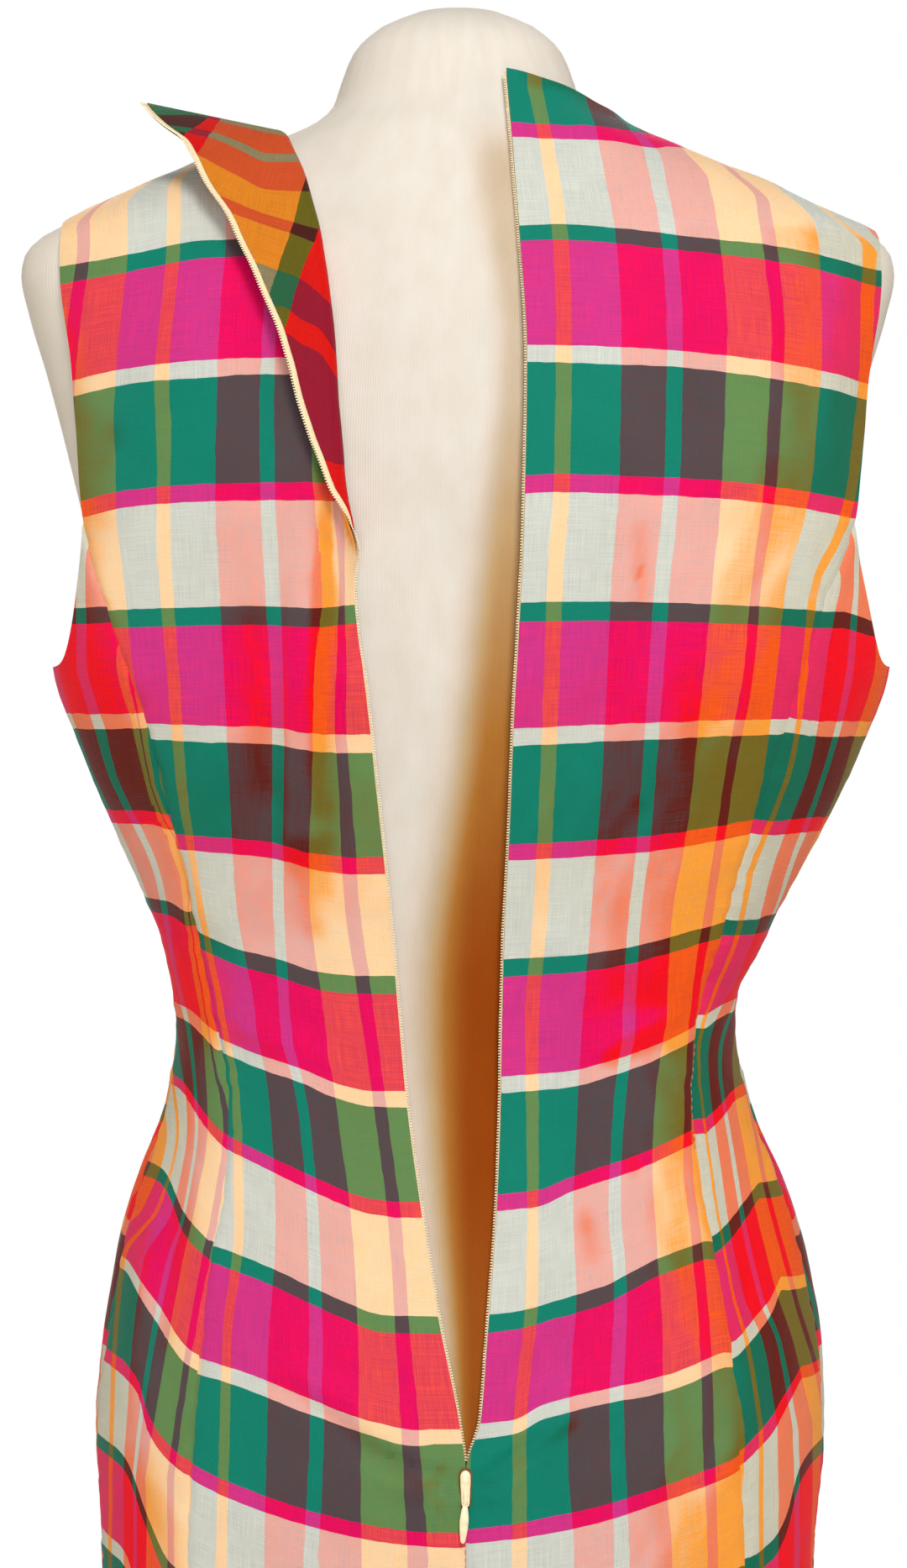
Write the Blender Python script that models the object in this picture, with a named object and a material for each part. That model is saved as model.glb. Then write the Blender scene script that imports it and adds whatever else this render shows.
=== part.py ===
"""Sheath dress on a limbless dress form, worn open at the back.

Metres, +Z up. The front of the form faces -Y, its left side is +X, and the origin
is the centre of the stand's underside, on the floor. The dress is seven panels:
one centre front, two side fronts, two side backs and two centre backs, with an open
zip from the neck to the hip and the left back neck corner folded outwards.
"""
import math

import bmesh
import bpy
from mathutils import Vector

# Cloth and seams.
CLOTH = 0.0012
SEAM = 0.0003
FACING = 0.0010
TAPE = 0.0010
LIFT = 0.0012

# Garment. The three armhole powers say how fast its edge falls from the princess
# seam, crowds its columns towards that seam, and swings out to the shoulder tip.
HEM_Z = 0.450
ZIP_END_Z = 0.8325
ARMHOLE_Z = 1.218
UNDERARM_Z = 1.158
SIDE_BLEND_Z = 1.055
ARMHOLE_DROP = 6.0
ARMHOLE_CROWD = 0.6
ARMHOLE_SWING = 6
NECK_BACK_Z = 1.4080
NECK_BACK_CURVE = 0.55
NECK_POINT_Z = 1.3800
SHOULDER_TIP_Z = {1: 1.3520, -1: 1.3470}
NECK_FRONT_Z = 1.338
CENTRE_SEAM_X = -0.0030

# Folded corner: the roll's radius and turn, how much of a strip its roll may take,
# and the curls from which a strip counts as rolled and its facing shows.
ROLL = 0.0030
ROLL_TURN = math.radians(172)
ROLL_SHARE = 0.9
ROLLED_FROM_CURL = 0.01
FACING_FROM_CURL = 0.30
FACING_UNDER = CLOTH + 1.6 * SEAM

# Zip tapes: what lies inside and shows past the cloth, and how far they lie under it.
TAPE_INSIDE = 0.0075
TAPE_SHOWS = 0.0018
TAPE_SHOWS_LEAST = 0.03
TAPE_ON_FLAP = 0.0036
TAPE_FULL_ABOVE = 0.030
TAPE_END_Z = 0.800
LEFT_TAPE_UNDER = CLOTH + SEAM
RIGHT_TAPE_UNDER = CLOTH + 2 * SEAM

# Zip slider: a long oval plate, with a bridge over the pull's crossbar.
SLIDER_LENGTH = 0.0150
SLIDER_WIDTH = 0.0046
SLIDER_TAIL_WIDTH = 0.0038
SLIDER_THICK = 0.0014
SLIDER_EDGE = 0.0004
SLIDER_TOP_SCALE = 0.86
SLIDER_ABOVE_END = 0.0010
SLIDER_END_SIDES = 8
BRIDGE_BELOW_MIDDLE = 0.0033
BRIDGE_WIDTH = 0.0015
BRIDGE_RISE = 0.0028
BRIDGE_BAR = 0.0009
BRIDGE_LEG = 0.0011
BRIDGE_UPPER_LEG = 0.00176
BRIDGE_CROWN = 0.00033
BRIDGE_WINDOW = 0.00176

# Pull tab, whose drop-shaped plate widens below its neck.
PULL_LENGTH = 0.0185
PULL_WIDTH = 0.0050
PULL_NECK_WIDTH = 0.0042
PULL_THICK = 0.0010
PULL_EYE_WIDTH = 0.0022
PULL_EYE_LENGTH = 0.0032
PULL_CORNER_SIDES = 3
PULL_END_SIDES = 8

# Stand.
FORM_BOTTOM_Z = 0.700
BASE_RADIUS = 0.200
BASE_THICK = 0.014
BASE_EDGE = 0.004
BASE_FOOT_EDGE = 0.001
BOSS_RADIUS = 0.032
BOSS_SKIRT = 0.014
BOSS_WALL = 0.005
BOSS_TAPER = 0.001
BOSS_TOP_Z = 0.050
POLE_RADIUS = 0.0125
FLANGE_RADIUS = 0.050
FLANGE_THICK = 0.008
FLANGE_NECK_WIDE = 0.008
FLANGE_NECK_HIGH = 0.012

# Mesh density, and the step that a slope is measured over.
SKIRT_STEP = 0.045
SKIRT_ROWS = 7
BODICE_STEP = 0.0252
FOLD_FADE_COLUMNS = 2
SLOPE_STEP = 0.0002
SMOOTH_BELOW = math.radians(40)
FORM_SIDES = 40
BACK_COLUMNS = 10
ROLL_COLUMNS = 5
FLAP_COLUMNS = 2
HEM_COLUMNS = 2
SIDE_COLUMNS = 5
FRONT_COLUMNS = 16
YOKE_ROWS = 11
ROUND_SIDES = 48

# The form, a row for each section: height, half width, depth behind and in front of
# the centre line, and the power of the superellipse.
FORM_COLUMNS = ("z", "half", "back", "front", "power")
FORM_ROWS = (
    (0.700, 0.1490, 0.1030, 0.1010, 2.30),
    (0.780, 0.1520, 0.1070, 0.1050, 2.30),
    (0.820, 0.1530, 0.1090, 0.1060, 2.30),
    (0.860, 0.1500, 0.1060, 0.1060, 2.30),
    (0.900, 0.1430, 0.0970, 0.1040, 2.30),
    (0.940, 0.1310, 0.0850, 0.1000, 2.28),
    (0.970, 0.1210, 0.0775, 0.0950, 2.26),
    (1.000, 0.1170, 0.0745, 0.0920, 2.25),
    (1.040, 0.1230, 0.0755, 0.0960, 2.25),
    (1.080, 0.1340, 0.0800, 0.1080, 2.28),
    (1.120, 0.1450, 0.0860, 0.1220, 2.30),
    (1.160, 0.1520, 0.0910, 0.1290, 2.30),
    (1.200, 0.1580, 0.0940, 0.1210, 2.30),
    (1.240, 0.1670, 0.0950, 0.1040, 2.30),
    (1.283, 0.1780, 0.0910, 0.0860, 2.30),
    (1.310, 0.1860, 0.0870, 0.0770, 2.30),
    (1.327, 0.1895, 0.0830, 0.0720, 2.30),
    (1.3355, 0.1880, 0.0800, 0.0690, 2.30),
    (1.3430, 0.1810, 0.0780, 0.0670, 2.30),
    (1.3485, 0.1705, 0.0760, 0.0655, 2.30),
    (1.3560, 0.1530, 0.0730, 0.0640, 2.28),
    (1.3660, 0.1280, 0.0690, 0.0620, 2.25),
    (1.3770, 0.0990, 0.0640, 0.0590, 2.20),
    (1.3860, 0.0750, 0.0600, 0.0560, 2.15),
    (1.3920, 0.0630, 0.0560, 0.0540, 2.10),
    (1.4000, 0.0545, 0.0520, 0.0520, 2.05),
    (1.4100, 0.0510, 0.0490, 0.0510, 2.00),
    (1.4235, 0.0455, 0.0440, 0.0460, 2.00),
    (1.4340, 0.0345, 0.0330, 0.0350, 2.00),
    (1.4405, 0.0200, 0.0190, 0.0200, 2.00),
)
FORM_TOP_Z = 1.4430

# How far the cloth's outer face stands off the form, a row for each height.
EASE_COLUMNS = ("z", "left", "right", "back", "front")
EASE_ROWS = (
    (0.450, 0.0040, 0.0040, 0.0060, 0.0060),
    (0.700, 0.0050, 0.0050, 0.0060, 0.0060),
    (0.770, 0.0042, 0.0042, 0.0058, 0.0050),
    (0.830, 0.0052, 0.0078, 0.0058, 0.0045),
    (0.880, 0.0060, 0.0100, 0.0065, 0.0045),
    (0.926, 0.0078, 0.0095, 0.0070, 0.0045),
    (0.962, 0.0062, 0.0070, 0.0075, 0.0042),
    (0.995, 0.0060, 0.0040, 0.0080, 0.0042),
    (1.015, 0.0058, 0.0035, 0.0085, 0.0045),
    (1.035, 0.0062, 0.0105, 0.0090, 0.0050),
    (1.055, 0.0092, 0.0150, 0.0095, 0.0055),
    (1.090, 0.0140, 0.0230, 0.0105, 0.0060),
    (1.120, 0.0185, 0.0300, 0.0110, 0.0060),
    (1.158, 0.0245, 0.0365, 0.0115, 0.0060),
    (1.218, 0.0160, 0.0240, 0.0110, 0.0060),
    (1.280, 0.0060, 0.0090, 0.0090, 0.0050),
    (1.330, 0.0024, 0.0024, 0.0060, 0.0060),
    (1.350, 0.0024, 0.0024, 0.0050, 0.0075),
    (1.383, 0.0080, 0.0080, 0.0062, 0.0100),
    (1.395, 0.0110, 0.0110, 0.0066, 0.0100),
    (1.410, 0.0120, 0.0120, 0.0066, 0.0100),
)

# Seams and edges, as distances from the centre line, a row for each height.
# The right centre-back edge is open from the neck to the zip's end.
SEAM_COLUMNS = ("z", "open_right", "princess_left", "princess_right", "front_princess", "side_angle")
SEAM_ROWS = (
    (0.450, 0.0030, 0.1080, 0.1130, 0.0800, 5.0),
    (0.700, 0.0030, 0.1110, 0.1180, 0.0820, 7.0),
    (0.790, 0.0030, 0.1121, 0.1197, 0.0840, 9.0),
    (0.8320, 0.0030, 0.1105, 0.1165, 0.0850, 10.0),
    (0.8540, 0.0095, 0.1092, 0.1152, 0.0850, 10.5),
    (0.880, 0.0116, 0.1064, 0.1131, 0.0840, 12.0),
    (0.915, 0.0145, 0.1024, 0.1070, 0.0800, 12.0),
    (0.940, 0.0162, 0.0980, 0.1022, 0.0770, 10.0),
    (0.972, 0.0176, 0.0970, 0.0984, 0.0730, 6.0),
    (1.003, 0.0182, 0.1016, 0.1012, 0.0710, 3.0),
    (1.048, 0.0192, 0.1114, 0.1125, 0.0740, 1.5),
    (1.090, 0.0212, 0.1198, 0.1235, 0.0800, 1.0),
    (1.134, 0.0228, 0.1300, 0.1370, 0.0860, 0.5),
    (1.180, 0.0252, 0.1455, 0.1515, 0.1020, 0.0),
    (1.218, 0.0268, 0.1570, 0.1665, 0.1350, 0.0),
    (1.285, 0.0280, 0.1620, 0.1745, 0.1560, 0.0),
    (1.327, 0.0258, 0.1670, 0.1800, 0.1680, 0.0),
    (1.364, 0.0233, 0.1670, 0.1800, 0.1700, 0.0),
    (1.408, 0.0205, 0.1670, 0.1800, 0.1700, 0.0),
)

# The left centre-back strip, a row for each height: where the strip starts, how wide
# it is, how much of its roll is turned over, and how far its grain runs up the flap.
STRIP_COLUMNS = ("z", "start", "width", "curl", "skew")
STRIP_ROWS = (
    (0.450, 0.0090, 0.0120, 0.00, 0.00),
    (0.8320, 0.0090, 0.0120, 0.00, 0.00),
    (0.8500, 0.0112, 0.0120, 0.00, 0.00),
    (0.8951, 0.0204, 0.0120, 0.00, 0.00),
    (0.9365, 0.0274, 0.0120, 0.00, 0.00),
    (0.9790, 0.0334, 0.0120, 0.00, 0.00),
    (1.0311, 0.0379, 0.0120, 0.00, 0.00),
    (1.0832, 0.0429, 0.0120, 0.00, 0.00),
    (1.1430, 0.0491, 0.0120, 0.00, 0.00),
    (1.1682, 0.0521, 0.0120, 0.04, 0.00),
    (1.1934, 0.0536, 0.0120, 0.18, 0.00),
    (1.2180, 0.0514, 0.0124, 0.60, 0.00),
    (1.2400, 0.0512, 0.0150, 1.00, 0.00),
    (1.2600, 0.0527, 0.0190, 1.00, 0.02),
    (1.2908, 0.0547, 0.0260, 1.00, 0.10),
    (1.3288, 0.0600, 0.0390, 1.00, 0.32),
    (1.3550, 0.0670, 0.0490, 1.00, 0.66),
    (1.3700, 0.0730, 0.0570, 1.00, 1.05),
)

# The largest folds of the back, from one end to the other: half width and rise.
FOLD_COLUMNS = ("x0", "z0", "x1", "z1", "width", "rise")
FOLD_ROWS = (
    (0.0600, 1.2300, 0.0640, 1.0900, 0.0110, 0.0045),
    (0.0130, 0.8330, 0.0700, 0.8720, 0.0070, 0.0028),
    (-0.0130, 0.8330, -0.0420, 0.8540, 0.0060, 0.0022),
    (0.0900, 1.0060, 0.0560, 0.9960, 0.0060, 0.0018),
    (-0.0880, 1.0100, -0.0600, 1.0000, 0.0060, 0.0018),
    (0.1000, 1.3100, 0.1350, 1.2600, 0.0120, 0.0020),
)

# The pull's side below its eye, a row for each corner.
PULL_SIDE_COLUMNS = ("down", "half")
PULL_SIDE_ROWS = (
    (0.0048, 0.00168),
    (0.0072, 0.00164),
    (0.0128, 0.00238),
)

# Colour, roughness and metallic value of each material.
COLOURS = {
    "plaid_cloth": ((0.62, 0.16, 0.22), 0.75, 0.0),
    "facing_cloth": ((0.42, 0.08, 0.06), 0.80, 0.0),
    "zip_tape": ((0.90, 0.78, 0.58), 0.80, 0.0),
    "enamelled_metal": ((0.92, 0.85, 0.68), 0.35, 0.0),
    "jersey": ((0.86, 0.80, 0.70), 0.85, 0.0),
    "painted_steel": ((0.85, 0.83, 0.79), 0.40, 0.0),
}


def clear_scene():
    for obj in list(bpy.data.objects):
        bpy.data.objects.remove(obj)


def material(name):
    found = bpy.data.materials.get(name)
    if found:
        return found
    colour, roughness, metallic = COLOURS[name]
    made = bpy.data.materials.new(name)
    made.use_nodes = True
    shader = made.node_tree.nodes["Principled BSDF"]
    shader.inputs["Base Color"].default_value = (*colour, 1.0)
    shader.inputs["Roughness"].default_value = roughness
    shader.inputs["Metallic"].default_value = metallic
    return made


def lookup(columns, rows, column, z):
    """A smooth curve through one column of a table, flat past its ends."""
    at = columns.index(column)
    if z <= rows[0][0]:
        return rows[0][at]
    if z >= rows[-1][0]:
        return rows[-1][at]
    i = max(k for k in range(len(rows) - 1) if rows[k][0] <= z)
    z0, z1 = rows[i][0], rows[i + 1][0]
    v0, v1 = rows[i][at], rows[i + 1][at]
    slope = (v1 - v0) / (z1 - z0)

    def tangent(k):
        if k == 0 or k == len(rows) - 1:
            return slope
        before = (rows[k][at] - rows[k - 1][at]) / (rows[k][0] - rows[k - 1][0])
        after = (rows[k + 1][at] - rows[k][at]) / (rows[k + 1][0] - rows[k][0])
        if before * after <= 0.0:
            return 0.0
        return 2.0 * before * after / (before + after)

    t = (z - z0) / (z1 - z0)
    m0, m1 = tangent(i) * (z1 - z0), tangent(i + 1) * (z1 - z0)
    return (
        (2 * t**3 - 3 * t**2 + 1) * v0
        + (t**3 - 2 * t**2 + t) * m0
        + (3 * t**2 - 2 * t**3) * v1
        + (t**3 - t**2) * m1
    )


def form_at(column, z):
    return lookup(FORM_COLUMNS, FORM_ROWS, column, z)


def seam_at(column, z):
    return lookup(SEAM_COLUMNS, SEAM_ROWS, column, z)


def strip_at(column, z):
    return lookup(STRIP_COLUMNS, STRIP_ROWS, column, z)


def form_radii(z):
    """Left, right, back and front reach of the form, and its power."""
    half = form_at("half", z)
    return half, half, form_at("back", z), form_at("front", z), form_at("power", z)


def cloth_radii(z):
    """Left, right, back and front reach of the cloth's outer face, and its power."""
    half, _, back, front, power = form_radii(z - LIFT)
    ease = [lookup(EASE_COLUMNS, EASE_ROWS, side, z) for side in EASE_COLUMNS[1:]]
    return half + ease[0], half + ease[1], back + ease[2], front + ease[3], power


def ring_point(radii, z, angle):
    """The point of a section at an angle from +X, anticlockwise from above."""
    left, right, back, front, power = radii(z)
    c, s = math.cos(angle), math.sin(angle)
    wide = left if c >= 0 else right
    deep = back if s >= 0 else front
    radius = (abs(c / wide) ** power + abs(s / deep) ** power) ** (-1.0 / power)
    return Vector((radius * c, radius * s, z))


def cloth_level(point):
    """Below one inside the cloth's section through a point, above one outside it."""
    left, right, back, front, power = cloth_radii(point.z)
    wide = left if point.x >= 0 else right
    deep = back if point.y >= 0 else front
    return abs(point.x / wide) ** power + abs(point.y / deep) ** power


def cloth_normal(point):
    """Outward normal of the cloth's outer face."""
    slope = Vector((0.0, 0.0, 0.0))
    for axis in range(3):
        ahead, behind = point.copy(), point.copy()
        ahead[axis] += SLOPE_STEP
        behind[axis] -= SLOPE_STEP
        slope[axis] = cloth_level(ahead) - cloth_level(behind)
    return slope.normalized()


def cloth_point(x, z, side):
    """The point of the cloth at x and z, behind (+1) or in front (-1)."""
    left, right, back, front, power = cloth_radii(z)
    wide = left if x >= 0 else right
    deep = back if side > 0 else -front
    share = max(0.0, 1.0 - min(1.0, abs(x) / wide) ** power)
    return Vector((x, deep * share ** (1.0 / power), z))


def angle_at(x, z, side):
    point = cloth_point(x, z, side)
    return math.atan2(point.y, point.x)


def fold_rise(x, z):
    """How far the back's folds lift the cloth at a place."""
    total = 0.0
    for row in FOLD_ROWS:
        fold = dict(zip(FOLD_COLUMNS, row))
        start = Vector((fold["x0"], fold["z0"]))
        run = Vector((fold["x1"], fold["z1"])) - start
        reach = Vector((x, z)) - start
        t = min(1.0, max(0.0, reach.dot(run) / run.length_squared))
        away = (reach - run * t).length / fold["width"]
        total += fold["rise"] * math.exp(-away * away)
    return total


def lower_levels():
    """Heights of the rows from the hem to the armholes, shared by every panel."""
    hip_z = HEM_Z + SKIRT_STEP * SKIRT_ROWS
    bodice_rows = round((ARMHOLE_Z - hip_z) / BODICE_STEP)
    skirt = [HEM_Z + SKIRT_STEP * k for k in range(SKIRT_ROWS)]
    return skirt + [hip_z + BODICE_STEP * k for k in range(bodice_rows)] + [ARMHOLE_Z]


def even(start, end, count):
    return [start + (end - start) * k / count for k in range(count + 1)]


def inset(start, end, gap_start, gap_end):
    """Two angles moved towards each other by half a seam gap where one is."""
    toward = 1.0 if end > start else -1.0
    return start + toward * gap_start, end - toward * gap_end


def half_gap(point):
    """The angle of half a seam gap at a point's distance from the axis."""
    return 0.5 * SEAM / math.hypot(point.x, point.y)


def row_between(z_start, z_end, start_angle, end_angle, columns, seams=(True, True)):
    """A row of cloth points from one angle to another, rising or falling evenly."""
    gap = half_gap(ring_point(cloth_radii, z_start, start_angle))
    first, last = inset(start_angle, end_angle, gap * seams[0], gap * seams[1])
    heights = even(z_start, z_end, columns)
    return [ring_point(cloth_radii, z, a) for z, a in zip(heights, even(first, last, columns))]


def with_normals(rows):
    return [[(p, cloth_normal(p)) for p in row] for row in rows]


def folded(rows):
    """Rows with the back's folds, which fade out at the seams."""
    out = []
    for row in rows:
        last = len(row) - 1
        new = []
        for k, (point, normal) in enumerate(row):
            fade = min(1.0, (last - k) / FOLD_FADE_COLUMNS)
            new.append((point + normal * fold_rise(point.x, point.z) * fade, normal))
        out.append(new)
    return out


def coons(bottom, top, left, right, columns, spacing):
    """A patch between four edges given as (x, z), each row at a share of the height."""
    rows = []
    for j, t in enumerate(spacing):
        row = []
        for i in range(columns + 1):
            s = i / columns
            x, z = [
                (1 - t) * bottom[i][k]
                + t * top[i][k]
                + (1 - s) * left(t)[k]
                + s * right(t)[k]
                - (1 - s) * (1 - t) * bottom[0][k]
                - s * (1 - t) * bottom[-1][k]
                - (1 - s) * t * top[0][k]
                - s * t * top[-1][k]
                for k in (0, 1)
            ]
            row.append((x, z))
        rows.append(row)
    return rows


def yoke_spacing():
    """Shares of the height from the armhole to the shoulder, closest at the top."""
    return [math.sin(0.5 * math.pi * k / YOKE_ROWS) for k in range(YOKE_ROWS + 1)]


def shoulder_line(sign, count):
    """Points (x, z) along the shoulder seam from the neck to the tip."""
    wide = 0 if sign > 0 else 1
    heights = even(NECK_POINT_Z, SHOULDER_TIP_Z[sign], count)
    return [(sign * cloth_radii(z)[wide], z) for z in heights]


def armhole_edge(column, sign, foot):
    """The armhole's edge as a function from its foot to the shoulder tip."""
    tip = shoulder_line(sign, 1)[-1]

    def at(t):
        if t == 0:
            return foot
        z = foot[1] + (tip[1] - foot[1]) * t
        blend = t**ARMHOLE_SWING
        return sign * seam_at(column, z) * (1 - blend) + tip[0] * blend, z

    return at


def yoke(bottom_row, neckline, inner_edge, column, sign, side):
    """The panel above the armhole's foot, from its inner edge to the armhole."""
    columns = len(bottom_row) - 1
    bottom = [(p.x, p.z) for p in bottom_row]
    neck_columns = columns // 2
    shoulder = shoulder_line(sign, columns - neck_columns)
    top = [neckline(k / neck_columns) for k in range(neck_columns)] + shoulder
    grid = coons(bottom, top, inner_edge, armhole_edge(column, sign, bottom[-1]), columns, yoke_spacing())
    rows = []
    for flat in grid[1:]:
        rows.append([cloth_point(x, z, side) for x, z in flat])
    for k in range(neck_columns, columns + 1):
        rows[-1][k] = Vector((top[k][0], side * 0.5 * SEAM, top[k][1]))
    return rows


def wall(name, rows, thick, finish, first=0.0):
    """A closed wall: rows of (point, normal), from first below the face to first + thick."""
    mesh = bmesh.new()
    faces = []
    for depth in (first, first + thick):
        faces.append([[mesh.verts.new(p - n * depth) for p, n in row] for row in rows])
    outer, inner = faces
    last_row, last_column = len(rows) - 1, len(rows[0]) - 1
    for j in range(last_row):
        for i in range(last_column):
            for side in faces:
                a, b, c, d = side[j][i], side[j][i + 1], side[j + 1][i + 1], side[j + 1][i]
                mesh.faces.new((a, b, c))
                mesh.faces.new((a, c, d))
    rim = [(0, i) for i in range(last_column)]
    rim += [(j, last_column) for j in range(last_row)]
    rim += [(last_row, i) for i in range(last_column, 0, -1)]
    rim += [(j, 0) for j in range(last_row, 0, -1)]
    for k, (j, i) in enumerate(rim):
        j2, i2 = rim[(k + 1) % len(rim)]
        mesh.faces.new((outer[j][i], inner[j][i], inner[j2][i2], outer[j2][i2]))
    return finished(name, mesh, finish)


def finished(name, mesh, finish, location=(0.0, 0.0, 0.0), sharp=SMOOTH_BELOW):
    """An object made from a bmesh, its faces turned outwards and shaded smooth."""
    bmesh.ops.recalc_face_normals(mesh, faces=mesh.faces)
    if mesh.calc_volume(signed=True) < 0:
        bmesh.ops.reverse_faces(mesh, faces=mesh.faces)
    data = bpy.data.meshes.new(name)
    mesh.to_mesh(data)
    mesh.free()
    data.shade_smooth()
    data.set_sharp_from_angle(angle=sharp)
    data.materials.append(material(finish))
    obj = bpy.data.objects.new(name, data)
    obj.location = location
    bpy.context.collection.objects.link(obj)
    return obj


def turned(name, profile, sides, finish, location=(0.0, 0.0, 0.0)):
    """A solid of revolution about Z from (radius, z) pairs, both ends on the axis."""
    mesh = bmesh.new()
    rings = []
    for radius, z in profile:
        if radius == 0.0:
            rings.append([mesh.verts.new((0.0, 0.0, z))])
            continue
        angles = [2 * math.pi * k / sides for k in range(sides)]
        rings.append([mesh.verts.new((radius * math.cos(a), radius * math.sin(a), z)) for a in angles])
    bridge(mesh, rings)
    return finished(name, mesh, finish, location)


def bridge(mesh, rings):
    """Faces between neighbouring closed rings, where a ring may be a single point."""
    for low, high in zip(rings, rings[1:]):
        count = max(len(low), len(high))
        for k in range(count):
            n = (k + 1) % count
            corners = [low[k % len(low)], low[n % len(low)], high[n % len(high)], high[k % len(high)]]
            mesh.faces.new(list(dict.fromkeys(corners)))


def build_form():
    """The smooth, whole form: torso, shoulder stubs and domed neck cap."""
    mesh = bmesh.new()
    rings = [[mesh.verts.new((0.0, 0.0, FORM_BOTTOM_Z))]]
    angles = [2 * math.pi * k / FORM_SIDES for k in range(FORM_SIDES)]
    for row in FORM_ROWS:
        rings.append([mesh.verts.new(ring_point(form_radii, row[0], a)) for a in angles])
    rings.append([mesh.verts.new((0.0, 0.0, FORM_TOP_Z))])
    bridge(mesh, rings)
    return finished("dress_form", mesh, "jersey", sharp=math.radians(60))


def build_stand():
    low = BASE_THICK - BASE_EDGE
    foot = [(0.0, 0.0), (BASE_RADIUS - BASE_FOOT_EDGE, 0.0), (BASE_RADIUS, BASE_FOOT_EDGE)]
    foot += [(BASE_RADIUS, low)]
    foot += [
        (BASE_RADIUS - BASE_EDGE + BASE_EDGE * math.cos(a), low + BASE_EDGE * math.sin(a))
        for a in (math.radians(30), math.radians(60), math.radians(90))
    ]
    neck = POLE_RADIUS + BOSS_WALL
    foot += [(BOSS_RADIUS, BASE_THICK), (neck + BOSS_TAPER, BASE_THICK + BOSS_SKIRT)]
    foot += [(neck, BOSS_TOP_Z), (0.0, BOSS_TOP_Z)]
    turned("stand_base", foot, ROUND_SIDES, "painted_steel")
    top = FORM_BOTTOM_Z - SEAM
    under = top - FLANGE_THICK
    pole = [(0.0, BOSS_TOP_Z + SEAM), (POLE_RADIUS, BOSS_TOP_Z + SEAM)]
    pole += [(POLE_RADIUS, under - FLANGE_NECK_HIGH), (POLE_RADIUS + FLANGE_NECK_WIDE, under)]
    pole += [(FLANGE_RADIUS, under), (FLANGE_RADIUS, top), (0.0, top)]
    turned("stand_pole", pole, ROUND_SIDES // 2, "painted_steel")


def right_back_rows():
    rows = []
    for z in lower_levels():
        start = angle_at(-seam_at("open_right", z), z, 1)
        end = angle_at(-seam_at("princess_right", z), z, 1)
        rows.append(row_between(z, z, start, end, BACK_COLUMNS, (z <= ZIP_END_Z, True)))

    def neckline(s):
        x = seam_at("open_right", NECK_BACK_Z)
        neck_x = cloth_radii(NECK_POINT_Z)[1]
        dip = s * (1.0 - NECK_BACK_CURVE) + NECK_BACK_CURVE * s * s
        return -(x + (neck_x - x) * s), NECK_BACK_Z + (NECK_POINT_Z - NECK_BACK_Z) * dip

    def edge(t):
        z = ARMHOLE_Z + (NECK_BACK_Z - ARMHOLE_Z) * t
        return -seam_at("open_right", z), z

    rows += yoke(rows[-1], neckline, edge, "princess_right", -1, 1)
    return with_normals(rows)


def left_back_main_rows():
    """The left centre back from its strip to the princess seam and armhole."""
    rows = []
    for z in lower_levels():
        start = angle_at(strip_at("start", z), z, 1)
        end = angle_at(seam_at("princess_left", z), z, 1)
        rows.append(row_between(z, z, start, end, BACK_COLUMNS, (False, True)))
    top_z = STRIP_ROWS[-1][0]
    top_x = STRIP_ROWS[-1][1]

    def neckline(s):
        neck_x = cloth_radii(NECK_POINT_Z)[0]
        return top_x + (neck_x - top_x) * s, top_z + (NECK_POINT_Z - top_z) * s

    def edge(t):
        z = ARMHOLE_Z + (top_z - ARMHOLE_Z) * t
        return strip_at("start", z), z

    rows += yoke(rows[-1], neckline, edge, "princess_left", 1, 1)
    return with_normals(rows)


def strip_frames(main):
    """For each row, the strip's start, its direction to the edge, normal and fold line."""
    frames = []
    for j, row in enumerate(main):
        start, normal = row[0]
        below = main[max(j - 1, 0)][0][0]
        above = main[min(j + 1, len(main) - 1)][0][0]
        along = above - below
        along = (along - normal * along.dot(normal)).normalized()
        across = along.cross(normal).normalized()
        if across.x > 0:
            across.negate()
        frames.append((start, across, normal, along))
    return frames


def strip_point(frame, distance, curl, skew):
    """A point and normal of a rolled strip at a distance from its start."""
    start, across, normal, along = frame
    bend = curl / ROLL
    turn = min(distance * bend, ROLL_TURN)
    rest = distance - turn / bend
    out = math.sin(turn) / bend + rest * math.cos(turn)
    up = (1.0 - math.cos(turn)) / bend + rest * math.sin(turn)
    rise = distance * math.sin(skew)
    point = start + across * out + normal * up + along * rise
    return point, (normal * math.cos(turn) - across * math.sin(turn)).normalized()


def strip_distances(width, curl):
    """Distances along a strip: through its roll, across its flap, then over its hem."""
    body = width - TAPE_ON_FLAP
    rolled = body * ROLL_COLUMNS / (ROLL_COLUMNS + FLAP_COLUMNS)
    if curl > 0.0:
        rolled += (min(ROLL_TURN * ROLL, ROLL_SHARE * body) - rolled) * curl
    places = even(0.0, rolled, ROLL_COLUMNS) + even(rolled, body, FLAP_COLUMNS)[1:]
    return places + even(body, width, HEM_COLUMNS)[1:]


def cloth_places(places, z):
    """Points and normals of the cloth at places along X."""
    points = [cloth_point(x, z, 1) for x in places]
    return [(point, cloth_normal(point)) for point in points]


def left_strip_rows(main):
    """The strip of each row, from its start to the centre-back edge."""
    rows = []
    for frame in strip_frames(main):
        z = frame[0].z
        width, curl, skew = [strip_at(column, z) for column in ("width", "curl", "skew")]
        places = strip_distances(width, curl)
        if curl > ROLLED_FROM_CURL:
            rows.append([strip_point(frame, d, curl, skew) for d in places])
            continue
        edge_x = CENTRE_SEAM_X + 0.5 * SEAM if z <= ZIP_END_Z else frame[0].x - width
        reach = (frame[0].x - edge_x) / width
        rows.append(cloth_places([frame[0].x - d * reach for d in places], z))
    return rows


def left_back_rows(main, strips):
    return [list(reversed(strip[1:])) + row for row, strip in zip(main, strips)]


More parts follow.
